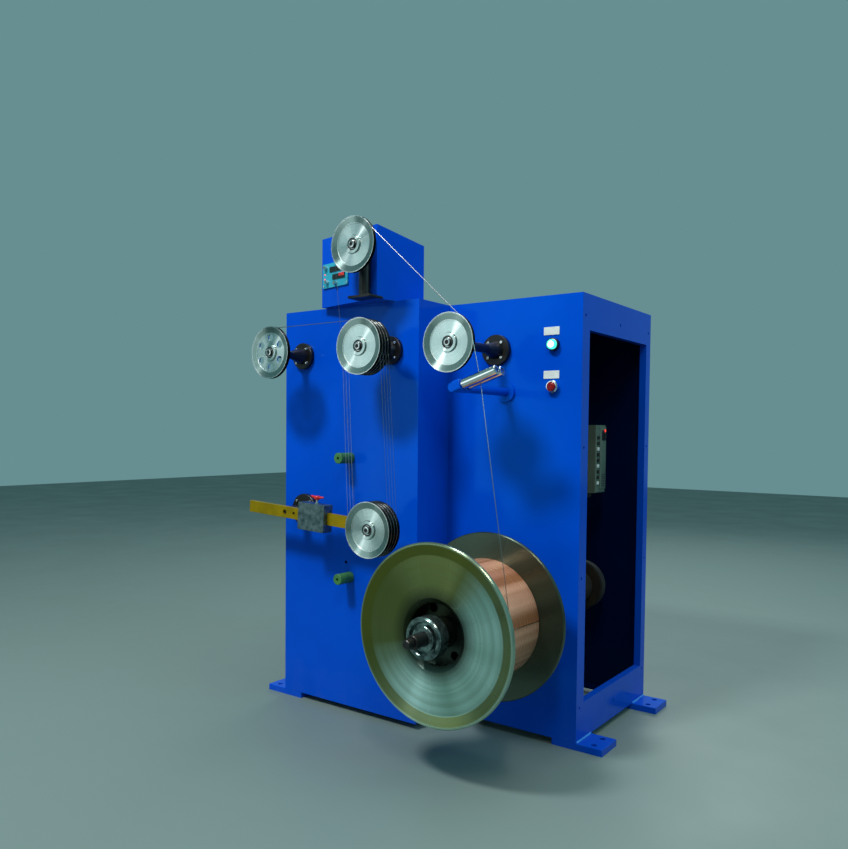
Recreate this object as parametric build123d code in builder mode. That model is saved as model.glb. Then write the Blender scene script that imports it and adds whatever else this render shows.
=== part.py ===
"""Motorised wire pay-off stand of a cable extrusion line, with a reel, guide sheaves and a dancer arm."""
import math
import os

from build123d import *

os.makedirs("parts", exist_ok=True)

# Overall sizes, in millimetres. The origin lies on the floor under the middle of the whole stand.
BODY_W = 823.0
BODY_H = 1060.0
TOWER_W = 454.5
TOWER_FRONT = -117.0
CAB_FRONT = 13.0
BODY_BACK = 444.0
SHEET = 3.0
FOOT_T = 16.0
FOOT_OVER = 65.0
FOOT_IN = 62.0
FOOT_D = 84.0
FOOT_HOLE_R = 7.0
FOOT_HOLE_PITCH = 48.0
FOOT_HOLE_IN = 27.5

LEFT = -BODY_W / 2
RIGHT = BODY_W / 2
TOWER_RIGHT = LEFT + TOWER_W
PANEL_TOP = BODY_H - SHEET

# Fits and clearances
RUN_FIT = 0.05
SIDE_PLAY = 1.0
TOUCH = 0.3

# Open side of the cabinet
OPEN_Y0, OPEN_Y1 = CAB_FRONT + 39.0, BODY_BACK - 29.0
OPEN_Z0, OPEN_Z1 = 104.0, BODY_H - 83.0
LIP = 18.0
SCREW_R, SCREW_IN, SCREW_LOW, SCREW_TOP = 3.5, 16.5, 95.0, 51.0

# Sheaves
SHEAVE_R = 67.0
SHEAVE_W = 10.5
GROOVE_D = 6.0
BOSS_R = 20.0
AXLE_R = 7.5
STEM_R = 14.0
FLANGE_R = 35.0
FLANGE_T = 12.0
CAP_R, CAP_T = 12.5, 4.0
SHEAVE_Z = BODY_H - 122.0
STACK_Y = TOWER_FRONT - 130.0
LEFT_X, LEFT_Y = LEFT + 71.2, STACK_Y
MID_X, MID_Y = TOWER_RIGHT - 83.0, STACK_Y
RIGHT_X, RIGHT_Y = RIGHT - 225.0, CAB_FRONT - 217.4
STACK_N = 4

# Dancer arm
PIVOT_X, PIVOT_Z = LEFT + 80.0, BODY_H - 537.0
PIVOT_R = 11.0
ARM_DROOP = 3.2
ARM_H, ARM_T = 30.5, 12.0
ARM_FRONT = TOWER_FRONT - 82.0
DANCER_R = MID_X + 32.0 - PIVOT_X
DANCER_Y = STACK_Y
ARM_LEFT, ARM_RIGHT = 135.0, DANCER_R + 21.5
STOP_X = PIVOT_X + 158.0
STOP_Z_HIGH, STOP_Z_LOW = PIVOT_Z + 145.0, PIVOT_Z - 166.0
STOP_R, STOP_L = 14.0, 50.0
LUG_R, LUG_L = 222.0, 24.0

# Reel
REEL_X, REEL_Z = RIGHT - 152.0, 320.0
REEL_R = 192.0
REEL_FRONT, REEL_BACK = CAB_FRONT - 370.0, CAB_FRONT - 143.0
REEL_FLANGE = 10.0
BARREL_R = 80.0
COPPER_R = 133.0
SPINDLE_R = 20.0
SPINDLE_TIP = REEL_FRONT - 87.0
SPINDLE_REAR = BODY_BACK - 64.0
SPINDLE_HOLE_R = SPINDLE_R + 8.0

# Control box on the tower, turned a little to the left, and the post beside it
BOX_YAW = 11.0
BOX_W, BOX_D = 225.0, 155.0
BOX_PLATE = 6.0
BOX_FRONT_H, BOX_REAR_H = 172.0, 144.0
BOX_X, BOX_Y = LEFT + 148.8, TOWER_FRONT - 16.0
POST_R = 14.0
POST_LX, POST_LY = 196.0, -POST_R - TOUCH
TOP_X, TOP_Y, TOP_Z = BOX_X + 189.7, TOWER_FRONT - 115.0, BODY_H + 123.0


def save(part, label):
    part.label = label
    export_step(part, f"parts/{label}.step")


def slab(label, x0, x1, y0, y1, z0, z1):
    with BuildPart() as made:
        with Locations(((x0 + x1) / 2, (y0 + y1) / 2, (z0 + z1) / 2)):
            Box(x1 - x0, y1 - y0, z1 - z0)
    save(made.part, label)


def front_plane(x, y, z):
    # local x runs to the right, local y runs up, and extruding goes towards the front
    return Plane(origin=(x, y, z), x_dir=(1, 0, 0), z_dir=(0, -1, 0))


# Four foot plates
with BuildPart() as feet:
    for side, fronts in ((-1, (TOWER_FRONT, BODY_BACK - FOOT_D)), (1, (CAB_FRONT, BODY_BACK - FOOT_D))):
        for y0 in fronts:
            with BuildSketch(Plane.XY):
                with Locations((side * (BODY_W + FOOT_OVER - FOOT_IN) / 2, y0 + FOOT_D / 2)):
                    Rectangle(FOOT_OVER + FOOT_IN, FOOT_D)
                with Locations((side * (BODY_W / 2 + FOOT_OVER - FOOT_HOLE_IN), y0 + FOOT_D / 2)):
                    with GridLocations(1, FOOT_HOLE_PITCH, 1, 2):
                        Circle(FOOT_HOLE_R, mode=Mode.SUBTRACT)
            extrude(amount=FOOT_T)
    chamfer(feet.faces().group_by(Axis.Z)[-1].edges().filter_by(GeomType.LINE), 1.0)
save(feet.part, "foot_plates")

# Base frame of angle section inside the panels
OUTLINE = [
    (LEFT + SHEET, TOWER_FRONT + SHEET),
    (TOWER_RIGHT - SHEET, TOWER_FRONT + SHEET),
    (TOWER_RIGHT - SHEET, CAB_FRONT + SHEET),
    (RIGHT - SHEET, CAB_FRONT + SHEET),
    (RIGHT - SHEET, BODY_BACK - SHEET),
    (LEFT + SHEET, BODY_BACK - SHEET),
]
ANGLE_LEG, ANGLE_T = 40.0, 4.0
with BuildPart() as base_frame:
    for reach, height in ((ANGLE_T, ANGLE_LEG), (ANGLE_LEG, ANGLE_T)):
        with BuildSketch(Plane.XY.offset(FOOT_T)):
            with BuildLine():
                Polyline(*OUTLINE, close=True)
            make_face()
            offset(amount=-reach, kind=Kind.INTERSECTION, mode=Mode.SUBTRACT)
        extrude(amount=height)
save(base_frame.part, "base_frame")

# Body panels
with BuildPart() as tower_front:
    with BuildSketch(front_plane(0, TOWER_FRONT + SHEET, 0)):
        with Locations(((LEFT + TOWER_RIGHT) / 2, (FOOT_T + PANEL_TOP) / 2)):
            Rectangle(TOWER_W, PANEL_TOP - FOOT_T)
        with Locations((PIVOT_X + 143.5, STOP_Z_LOW + 37.0)):
            Circle(4.5, mode=Mode.SUBTRACT)
    extrude(amount=SHEET)
save(tower_front.part, "tower_front_panel")
slab("left_side_panel", LEFT, LEFT + SHEET, TOWER_FRONT + SHEET, BODY_BACK, FOOT_T, PANEL_TOP)
slab("tower_side_panel", TOWER_RIGHT - SHEET, TOWER_RIGHT, TOWER_FRONT + SHEET, CAB_FRONT + SHEET, FOOT_T, PANEL_TOP)
slab("rear_panel", LEFT + SHEET, RIGHT, BODY_BACK - SHEET, BODY_BACK, FOOT_T, PANEL_TOP)

with BuildPart() as cab_front:
    with BuildSketch(front_plane(0, CAB_FRONT + SHEET, 0)):
        with Locations(((TOWER_RIGHT + RIGHT) / 2, (FOOT_T + PANEL_TOP) / 2)):
            Rectangle(RIGHT - TOWER_RIGHT, PANEL_TOP - FOOT_T)
        with Locations((REEL_X, REEL_Z)):
            Circle(SPINDLE_HOLE_R, mode=Mode.SUBTRACT)
    extrude(amount=SHEET)
save(cab_front.part, "cabinet_front_panel")

with BuildPart() as side_frame:
    with BuildSketch(Plane.YZ.offset(RIGHT - SHEET)):
        with Locations(((CAB_FRONT + SHEET + BODY_BACK - SHEET) / 2, (FOOT_T + PANEL_TOP) / 2)):
            Rectangle(BODY_BACK - CAB_FRONT - 2 * SHEET, PANEL_TOP - FOOT_T)
        with Locations(((OPEN_Y0 + OPEN_Y1) / 2, (OPEN_Z0 + OPEN_Z1) / 2)):
            Rectangle(OPEN_Y1 - OPEN_Y0, OPEN_Z1 - OPEN_Z0, mode=Mode.SUBTRACT)
        rows = [SCREW_LOW + k * (BODY_H - SCREW_TOP - SCREW_LOW) / 3 for k in range(4)]
        spots = [(y, z) for y in (CAB_FRONT + SCREW_IN, BODY_BACK - SCREW_IN) for z in rows]
        with Locations(*spots, ((OPEN_Y0 + OPEN_Y1) / 2, rows[-1]), ((OPEN_Y0 + OPEN_Y1) / 2, OPEN_Z0 - 44.0)):
            Circle(SCREW_R, mode=Mode.SUBTRACT)
    extrude(amount=SHEET)
    with BuildSketch(Plane.YZ.offset(RIGHT - LIP)):
        with Locations(((OPEN_Y0 + OPEN_Y1) / 2, (OPEN_Z0 + OPEN_Z1) / 2)):
            Rectangle(OPEN_Y1 - OPEN_Y0 + 2 * SHEET, OPEN_Z1 - OPEN_Z0 + 2 * SHEET)
            Rectangle(OPEN_Y1 - OPEN_Y0, OPEN_Z1 - OPEN_Z0, mode=Mode.SUBTRACT)
    extrude(amount=LIP - SHEET)
save(side_frame.part, "open_side_frame")

with BuildPart() as top_panel:
    with BuildSketch(Plane.XY.offset(PANEL_TOP)):
        with BuildLine():
            Polyline((LEFT, TOWER_FRONT), (TOWER_RIGHT, TOWER_FRONT), (TOWER_RIGHT, CAB_FRONT),
                     (RIGHT, CAB_FRONT), (RIGHT, BODY_BACK), (LEFT, BODY_BACK), close=True)
        make_face()
    extrude(amount=SHEET)
save(top_panel.part, "top_panel")

# Control box
box_frame = Plane(origin=(BOX_X, BOX_Y, BODY_H), x_dir=(math.cos(math.radians(-BOX_YAW)),
                  math.sin(math.radians(-BOX_YAW)), 0), z_dir=(0, 0, 1))
with BuildPart() as box_plate:
    with BuildSketch(box_frame):
        with Locations((BOX_W / 2, BOX_D / 2)):
            Rectangle(BOX_W, BOX_D)
        with Locations((POST_LX, POST_LY)):
            Rectangle(2 * POST_R + 8, 2 * POST_R + 8)
    extrude(amount=BOX_PLATE)
save(box_plate.part, "box_plate")
with BuildPart() as control_box:
    with BuildSketch(Plane(origin=box_frame.origin + Vector(0, 0, BOX_PLATE), x_dir=(0, 0, 1),
                           z_dir=box_frame.x_dir)) as side:
        with BuildLine():
            Polyline((0, 0), (BOX_FRONT_H, 0), (BOX_REAR_H, -BOX_D), (0, -BOX_D), close=True)
        make_face()
    extrude(amount=BOX_W)
save(control_box.part, "control_box")


def in_box(u, v, w):
    return box_frame.from_local_coords(Vector(u, v, w))


face_plane = Plane(origin=in_box(0, 0, 0), x_dir=box_frame.x_dir, z_dir=-box_frame.y_dir)
with BuildPart() as control_plate:
    with BuildSketch(face_plane):
        with Locations((61.0, 79.0)):
            RectangleRounded(106.0, 62.0, 3.0)
    extrude(amount=4.0)
save(control_plate.part, "control_plate")
with BuildPart() as displays:
    with BuildSketch(face_plane.offset(4.0)):
        with Locations((66.0, 93.0), (78.0, 73.0)):
            Rectangle(52.0, 13.0)
    extrude(amount=2.0)
save(displays.part, "displays")
with BuildPart() as knobs:
    with BuildSketch(face_plane.offset(4.0)):
        with Locations((24.0, 99.0), (30.0, 62.0), (66.0, 56.0)):
            Circle(5.0)
    extrude(amount=8.0)
save(knobs.part, "control_knobs")

post_at = in_box(POST_LX, POST_LY, 0)
with BuildPart() as top_post:
    with BuildSketch(Plane.XY.offset(BODY_H + BOX_PLATE)):
        with Locations((post_at.X, post_at.Y)):
            Circle(POST_R)
    extrude(amount=TOP_Z + 16.0 - BODY_H - BOX_PLATE)
    with BuildSketch(front_plane(TOP_X, post_at.Y, TOP_Z)):
        Circle(STEM_R - 3)
    extrude(amount=post_at.Y - (TOP_Y + SHEAVE_W + SIDE_PLAY))
    with BuildSketch(front_plane(TOP_X, TOP_Y + SHEAVE_W + SIDE_PLAY, TOP_Z)):
        Circle(AXLE_R)
    extrude(amount=SHEAVE_W + 2 * SIDE_PLAY)
    with BuildSketch(front_plane(TOP_X, TOP_Y - SIDE_PLAY, TOP_Z)):
        Circle(CAP_R)
    extrude(amount=CAP_T)
    with BuildSketch(front_plane(TOP_X, TOP_Y - SIDE_PLAY - CAP_T, TOP_Z)):
        RegularPolygon(radius=5.0, side_count=6)
    extrude(amount=-5.0, mode=Mode.SUBTRACT)
save(top_post.part, "top_post")


# Sheaves, turned from aluminium: flat hub, thin web and grooved rim
def sheave(label, x, y, z, count=1, holes=0):
    width = SHEAVE_W * count
    with BuildPart() as wheel:
        with BuildSketch(Plane(origin=(x, y + width, z), x_dir=(1, 0, 0), z_dir=(0, 0, 1))):
            for k in range(count):
                low = -width + k * SHEAVE_W
                high = low + SHEAVE_W
                with BuildLine():
                    Polyline((AXLE_R + RUN_FIT, low), (BOSS_R, low), (BOSS_R + 1.5, low + 2.6),
                             (SHEAVE_R - 20, low + 2.6), (SHEAVE_R - 12, low + 3.6), (SHEAVE_R - 8.5, low + 0.4),
                             (SHEAVE_R - 0.8, low + 0.4), (SHEAVE_R, low + 1.2),
                             (SHEAVE_R - GROOVE_D, low + SHEAVE_W / 2 - 1.2),
                             (SHEAVE_R - GROOVE_D, low + SHEAVE_W / 2 + 1.2),
                             (SHEAVE_R, high - 1.2), (SHEAVE_R - 0.8, high - 0.4),
                             (SHEAVE_R - 8.5, high - 0.4), (SHEAVE_R - 12, high - 3.6), (SHEAVE_R - 20, high - 2.6),
                             (BOSS_R + 1.5, high - 2.6), (BOSS_R, high), (AXLE_R + RUN_FIT, high), close=True)
                make_face()
        revolve(axis=Axis((x, y, z), (0, 1, 0)), revolution_arc=360)
        if holes:
            with BuildSketch(front_plane(x, y + width, z)):
                with PolarLocations(41.0, holes, start_angle=90):
                    Circle(9.0)
            extrude(amount=width, mode=Mode.SUBTRACT)
    save(wheel.part, label)


def axle(label, x, y, z, wall, flange_r, width):
    with BuildPart() as pin:
        with BuildSketch(front_plane(x, wall, z)):
            Circle(flange_r)
        extrude(amount=FLANGE_T)
        chamfer(pin.faces().sort_by(Axis.Y)[0].edges(), 1.5)
        with BuildSketch(front_plane(x, wall - FLANGE_T, z)):
            Circle(STEM_R)
        extrude(amount=(wall - FLANGE_T) - (y + width + SIDE_PLAY))
        with BuildSketch(front_plane(x, y + width + SIDE_PLAY, z)):
            Circle(AXLE_R)
        extrude(amount=width + 2 * SIDE_PLAY)
        with BuildSketch(front_plane(x, y - SIDE_PLAY, z)):
            Circle(CAP_R)
        extrude(amount=CAP_T)
        chamfer(pin.faces().sort_by(Axis.Y)[0].edges(), 1.0)
        with BuildSketch(front_plane(x, y - SIDE_PLAY - CAP_T, z)):
            RegularPolygon(radius=5.0, side_count=6)
        extrude(amount=-5.0, mode=Mode.SUBTRACT)
    save(pin.part, label)


sheave("left_sheave", LEFT_X, LEFT_Y, SHEAVE_Z, holes=6)
axle("left_axle", LEFT_X, LEFT_Y, SHEAVE_Z, TOWER_FRONT, FLANGE_R, SHEAVE_W)
sheave("middle_sheaves", MID_X, MID_Y, SHEAVE_Z, count=STACK_N)
axle("middle_axle", MID_X, MID_Y, SHEAVE_Z, TOWER_FRONT, FLANGE_R, SHEAVE_W * STACK_N)
sheave("right_sheave", RIGHT_X, RIGHT_Y, SHEAVE_Z)
axle("right_axle", RIGHT_X, RIGHT_Y, SHEAVE_Z, CAB_FRONT, FLANGE_R, SHEAVE_W)
sheave("top_sheave", TOP_X, TOP_Y, TOP_Z)

# Dancer arm on its pivot flange, at rest a little below level
arm_plane = Plane(origin=(PIVOT_X, ARM_FRONT + ARM_T, PIVOT_Z),
                  x_dir=(math.cos(math.radians(ARM_DROOP)), 0, -math.sin(math.radians(ARM_DROOP))),
                  z_dir=(0, -1, 0))
with BuildPart() as pivot_flange:
    with BuildSketch(front_plane(PIVOT_X, TOWER_FRONT, PIVOT_Z)):
        Circle(44.0)
    extrude(amount=FLANGE_T)
    chamfer(pivot_flange.faces().sort_by(Axis.Y)[0].edges(), 1.5)
    with BuildSketch(front_plane(PIVOT_X, TOWER_FRONT - FLANGE_T, PIVOT_Z)):
        Circle(24.0)
    extrude(amount=TOWER_FRONT - FLANGE_T - (ARM_FRONT + ARM_T + SIDE_PLAY))
    with BuildSketch(front_plane(PIVOT_X, ARM_FRONT + ARM_T + SIDE_PLAY, PIVOT_Z)):
        Circle(PIVOT_R)
    extrude(amount=ARM_T + SIDE_PLAY - 4.0)
save(pivot_flange.part, "pivot_flange")

with BuildPart() as dancer_arm:
    with BuildSketch(arm_plane):
        with Locations(((ARM_RIGHT - ARM_LEFT) / 2, 0)):
            Rectangle(ARM_LEFT + ARM_RIGHT, ARM_H)
        Circle(6.5, mode=Mode.SUBTRACT)
        with Locations((33.0, 0)):
            Circle(4.5, mode=Mode.SUBTRACT)
    extrude(amount=ARM_T)
    with BuildSketch(arm_plane):
        Circle(PIVOT_R + RUN_FIT)
    extrude(amount=ARM_T - 4.0 + TOUCH, mode=Mode.SUBTRACT)
    with BuildSketch(arm_plane):
        with Locations((LUG_R, 0)):
            Rectangle(24.0, 24.0)
    extrude(amount=-LUG_L)
    with BuildSketch(arm_plane.offset(ARM_T)):
        with Locations((DANCER_R, 0)):
            Circle(AXLE_R)
    extrude(amount=ARM_FRONT - DANCER_Y + SIDE_PLAY)
    with BuildSketch(arm_plane.offset(ARM_FRONT + ARM_T - DANCER_Y + SIDE_PLAY)):
        with Locations((DANCER_R, 0)):
            Circle(CAP_R)
    extrude(amount=CAP_T)
    with BuildSketch(arm_plane.offset(ARM_FRONT + ARM_T - DANCER_Y + SIDE_PLAY + CAP_T)):
        with Locations((DANCER_R, 0)):
            RegularPolygon(radius=5.0, side_count=6)
    extrude(amount=-5.0, mode=Mode.SUBTRACT)
save(dancer_arm.part, "dancer_arm")

dancer_at = arm_plane.from_local_coords(Vector(DANCER_R, 0, 0))
sheave("dancer_sheaves", dancer_at.X, DANCER_Y, dancer_at.Z, count=STACK_N)

# Sliding counterweight with its clamp knob
WEIGHT_MID, WEIGHT_W, WEIGHT_H = 107.0, 91.0, 70.0
WEIGHT_FRONT, WEIGHT_BACK = 14.0, 8.0
with BuildPart() as counterweight:
    with BuildSketch(arm_plane.offset(-WEIGHT_BACK)):
        with Locations((WEIGHT_MID, 0)):
            Rectangle(WEIGHT_W, WEIGHT_H)
    extrude(amount=WEIGHT_BACK + ARM_T + WEIGHT_FRONT)
    chamfer(counterweight.edges(), 1.5)
    with BuildSketch(arm_plane.offset(-TOUCH)):
        with Locations((WEIGHT_MID, 0)):
            Rectangle(WEIGHT_W, ARM_H + 2 * TOUCH)
    extrude(amount=ARM_T + 2 * TOUCH, mode=Mode.SUBTRACT)
save(counterweight.part, "counterweight")
knob_plane = Plane(origin=arm_plane.from_local_coords(Vector(WEIGHT_MID + 8, WEIGHT_H / 2, 8.0)),
                   x_dir=arm_plane.x_dir, z_dir=arm_plane.y_dir)
with BuildPart() as clamp_knob:
    with BuildSketch(knob_plane):
        Circle(4.0)
    extrude(amount=12.0)
    with BuildSketch(knob_plane.offset(12.0)):
        Circle(8.0)
    extrude(amount=10.0)
    with BuildSketch(knob_plane.offset(14.0)):
        SlotOverall(46.0, 9.0)
    extrude(amount=6.0)
save(clamp_knob.part, "clamp_knob")

with BuildPart() as stop_pins:
    for z in (STOP_Z_HIGH, STOP_Z_LOW):
        with BuildSketch(front_plane(STOP_X, TOWER_FRONT, z)):
            Circle(STOP_R)
        extrude(amount=STOP_L)
    fillet(stop_pins.faces().filter_by(Axis.Y).group_by(Axis.Y)[0].edges(), 2.0)
    for z in (STOP_Z_HIGH, STOP_Z_LOW):
        with BuildSketch(front_plane(STOP_X, TOWER_FRONT - STOP_L, z)):
            Circle(4.0)
        extrude(amount=-8.0, mode=Mode.SUBTRACT)
save(stop_pins.part, "stop_pins")

# Pair of chrome guide rollers on a tilted bracket below the right sheave
ROLL_TILT = 18.4
ROLL_R, ROLL_L = 11.0, 88.0
ROLL_X, ROLL_Z = RIGHT_X + 48.5, SHEAVE_Z - 95.0
ROLL_GAP = 3.0
ROLL_MID_Y = RIGHT_Y + SHEAVE_W / 2
tilt = math.radians(ROLL_TILT)
roll_dir = Vector(math.cos(tilt), 0, math.sin(tilt))
PIN_R = 4.0
for label, y in (("guide_roller_front", ROLL_MID_Y - ROLL_R - ROLL_GAP / 2),
                 ("guide_roller_rear", ROLL_MID_Y + ROLL_R + ROLL_GAP / 2)):
    with BuildPart() as roller:
        with BuildSketch(Plane(origin=(ROLL_X, y, ROLL_Z), x_dir=(0, 1, 0), z_dir=roll_dir)):
            Circle(ROLL_R)
            Circle(PIN_R + RUN_FIT, mode=Mode.SUBTRACT)
        extrude(amount=ROLL_L)
    save(roller.part, label)
with BuildPart() as roller_bracket:
    with BuildSketch(front_plane(ROLL_X - 22.0, CAB_FRONT, ROLL_Z - 7.0)):
        Circle(24.0)
    extrude(amount=6.0)
    with BuildSketch(front_plane(ROLL_X - 22.0, CAB_FRONT - 6.0, ROLL_Z - 7.0)):
        Circle(10.0)
    extrude(amount=CAB_FRONT - 6.0 - (ROLL_MID_Y - 26.0))
    with BuildSketch(Plane(origin=Vector(ROLL_X, ROLL_MID_Y, ROLL_Z) - roll_dir * 20.0, x_dir=(0, 1, 0),
                           z_dir=roll_dir)):
        RectangleRounded(54.0, 26.0, 6.0)
    extrude(amount=18.0)
    for y in (ROLL_MID_Y - ROLL_R - ROLL_GAP / 2, ROLL_MID_Y + ROLL_R + ROLL_GAP / 2):
        with BuildSketch(Plane(origin=Vector(ROLL_X, y, ROLL_Z) - roll_dir * 2.0, x_dir=(0, 1, 0),
                               z_dir=roll_dir)):
            Circle(PIN_R)
        extrude(amount=ROLL_L)
save(roller_bracket.part, "roller_bracket")

# Push buttons and their bare label plates
BUTTON_X, GREEN_Z, RED_Z = RIGHT - 72.0, BODY_H - 116.0, BODY_H - 214.0
BUTTON_R, BEZEL_T = 11.2, 12.0
with BuildPart() as bezels:
    for z in (GREEN_Z, RED_Z):
        with BuildSketch(front_plane(BUTTON_X, CAB_FRONT, z)):
            Circle(15.0)
            Circle(BUTTON_R + TOUCH, mode=Mode.SUBTRACT)
        extrude(amount=BEZEL_T)
    chamfer(bezels.edges().filter_by(GeomType.CIRCLE).filter_by(lambda e: e.radius > 14.9).group_by(Axis.Y)[0], 2.0)
save(bezels.part, "button_bezels")
for label, z, proud in (("green_button", GREEN_Z, 5.0), ("red_button", RED_Z, 2.0)):
    with BuildPart() as cap:
        with BuildSketch(front_plane(BUTTON_X, CAB_FRONT - 5.0, z)):
            Circle(BUTTON_R)
        extrude(amount=BEZEL_T - 5.0 + proud)
        fillet(cap.faces().sort_by(Axis.Y)[0].edges(), 2.0)
    save(cap.part, label)
with BuildPart() as labels:
    with BuildSketch(front_plane(0, CAB_FRONT, 0)):
        with Locations((BUTTON_X - 6.0, GREEN_Z + 32.5), (BUTTON_X - 5.0, RED_Z + 28.5)):
            RectangleRounded(40.0, 18.5, 1.0)
    extrude(amount=1.5)
save(labels.part, "label_plates")

# Reel on its driven spindle: two dished flanges with rolled rims on an open barrel
RIM, WEB_T, WALL = 7.0, 4.0, 5.0
HUB_OUT, HUB_PLATE_T, HUB_DEPTH = 34.0, 6.0, 46.0
reel_side = Plane(origin=(REEL_X, 0, REEL_Z), x_dir=(1, 0, 0), z_dir=(0, 0, 1))
with BuildPart() as reel:
    with BuildSketch(reel_side):
        for outer, inward in ((REEL_FRONT, 1), (REEL_BACK, -1)):
            with BuildLine():
                Polyline((BARREL_R - WALL, outer), (BARREL_R + 8, outer), (BARREL_R + 14, outer + inward * 2),
                         (REEL_R - 22, outer + inward * 2), (REEL_R - 18, outer + inward * 0.5),
                         (REEL_R - 3, outer + inward * 0.5), (REEL_R, outer + inward * 3),
                         (REEL_R, outer + inward * (REEL_FLANGE - 2)), (REEL_R - 2, outer + inward * REEL_FLANGE),
                         (REEL_R - RIM, outer + inward * REEL_FLANGE),
                         (REEL_R - RIM - 2, outer + inward * (WEB_T + 2)),
                         (BARREL_R - WALL, outer + inward * (WEB_T + 2)), close=True)
            make_face()
            plate = outer + inward * HUB_DEPTH
            with BuildLine():
                Polyline((SPINDLE_R + RUN_FIT, plate), (BARREL_R - WALL, plate),
                         (BARREL_R - WALL, plate + inward * HUB_PLATE_T),
                         (SPINDLE_R + RUN_FIT, plate + inward * HUB_PLATE_T), close=True)
            make_face()
            with BuildLine():
                Polyline((SPINDLE_R + RUN_FIT, outer), (HUB_OUT, outer), (HUB_OUT, plate),
                         (SPINDLE_R + RUN_FIT, plate), close=True)
            make_face()
        with BuildLine():
            Polyline((BARREL_R - WALL, REEL_FRONT + 1), (BARREL_R, REEL_FRONT + 1), (BARREL_R, REEL_BACK - 1),
                     (BARREL_R - WALL, REEL_BACK - 1), close=True)
        make_face()
    revolve(axis=Axis((REEL_X, 0, REEL_Z), (0, 1, 0)), revolution_arc=360)
    for outer, inward in ((REEL_FRONT, 1), (REEL_BACK, -1)):
        with BuildSketch(front_plane(REEL_X, outer + inward * HUB_DEPTH, REEL_Z)):
            with PolarLocations(56.0, 6):
                Circle(10.0)
        extrude(amount=HUB_PLATE_T * -inward, mode=Mode.SUBTRACT)
save(reel.part, "reel")
COPPER_END = WEB_T + 2
with BuildPart() as copper:
    with BuildSketch(front_plane(REEL_X, REEL_BACK - COPPER_END, REEL_Z)):
        Circle(COPPER_R)
        Circle(BARREL_R, mode=Mode.SUBTRACT)
    extrude(amount=REEL_BACK - REEL_FRONT - 2 * COPPER_END)
save(copper.part, "copper_winding")
with BuildPart() as spindle:
    for y, radius, length in ((SPINDLE_REAR, SPINDLE_R, SPINDLE_REAR - (REEL_FRONT - 8.0)),
                              (REEL_FRONT - 8.0, 16.0, 60.0), (REEL_FRONT - 68.0, 11.0, REEL_FRONT - 68.0 - SPINDLE_TIP),
                              (REEL_BACK + 14.0, 55.0, 14.0)):
        with BuildSketch(front_plane(REEL_X, y, REEL_Z)):
            Circle(radius)
        extrude(amount=length)
    chamfer(spindle.faces().sort_by(Axis.Y)[0].edges(), 2.0)
save(spindle.part, "spindle")
with BuildPart() as lock_nut:
    with BuildSketch(front_plane(REEL_X, REEL_FRONT, REEL_Z)):
        Circle(52.0)
        Circle(SPINDLE_R, mode=Mode.SUBTRACT)
    extrude(amount=8.0)
    chamfer(lock_nut.faces().sort_by(Axis.Y)[0].outer_wire().edges(), 3.0)
    with BuildSketch(front_plane(REEL_X, REEL_FRONT - 8.0, REEL_Z)):
        Circle(42.0)
        Circle(16.0, mode=Mode.SUBTRACT)
    extrude(amount=12.0)
    with BuildSketch(front_plane(REEL_X, REEL_FRONT - 20.0, REEL_Z)):
        Circle(42.0)
        Circle(34.0, mode=Mode.SUBTRACT)
        Circle(26.0)
        Circle(16.0, mode=Mode.SUBTRACT)
    extrude(amount=10.0)
save(lock_nut.part, "lock_nut")

# Drive inside the cabinet
PLATE_W, PLATE_T, COLLAR_R, COLLAR_T = 240.0, 12.0, 78.0, 14.0
PULLEY_Y1 = SPINDLE_REAR - 6.0
PULLEY_Y0 = PULLEY_Y1 - 32.0
HOUSING_R, HOUSING_Y0, HOUSING_Y1 = 45.0, CAB_FRONT + SHEET + PLATE_T, PULLEY_Y0 - 10.0
with BuildPart() as bearing_plate:
    with BuildSketch(front_plane(REEL_X, HOUSING_Y0, REEL_Z)):
        Rectangle(PLATE_W, PLATE_W)
        Circle(SPINDLE_HOLE_R, mode=Mode.SUBTRACT)
    extrude(amount=PLATE_T)
save(bearing_plate.part, "bearing_plate")
with BuildPart() as bearing_housing:
    with BuildSketch(front_plane(REEL_X, HOUSING_Y1, REEL_Z)):
        Circle(HOUSING_R)
    extrude(amount=HOUSING_Y1 - HOUSING_Y0)
    with BuildSketch(front_plane(REEL_X, HOUSING_Y0 + COLLAR_T, REEL_Z)):
        Circle(COLLAR_R)
    extrude(amount=COLLAR_T)
    with BuildSketch(front_plane(REEL_X, HOUSING_Y1, REEL_Z)):
        Circle(SPINDLE_R + RUN_FIT)
    extrude(amount=HOUSING_Y1 - HOUSING_Y0, mode=Mode.SUBTRACT)
    with BuildSketch(front_plane(REEL_X, HOUSING_Y1 - 40.0, REEL_Z)):
        Circle(HOUSING_R - 8.0)
    extrude(amount=HOUSING_Y1 - HOUSING_Y0 - 80.0, mode=Mode.SUBTRACT)
save(bearing_housing.part, "bearing_housing")
BIG_R, SMALL_R = 62.0, 31.0
MOTOR_X, MOTOR_Z, MOTOR_R, MOTOR_L = REEL_X - 199.5, 150.0, 58.0, 210.0
MOTOR_Y1 = PULLEY_Y0 - 12.0
MOTOR_Y0 = MOTOR_Y1 - MOTOR_L
MOTOR_MID = (MOTOR_Y0 + MOTOR_Y1) / 2
RAIL_T, RAIL_W, RAIL_SPACING = 8.0, 40.0, 95.0
FOOTING_W, FOOTING_D, FOOTING_T, PEDESTAL_W = 135.0, 170.0, 12.0, 60.0
JUNCTION_W, JUNCTION_D, JUNCTION_H = 80.0, 90.0, 40.0
BELT_T, BELT_W = 5.0, 22.0
BELT_BACK = (PULLEY_Y0 + PULLEY_Y1 + BELT_W) / 2
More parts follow.
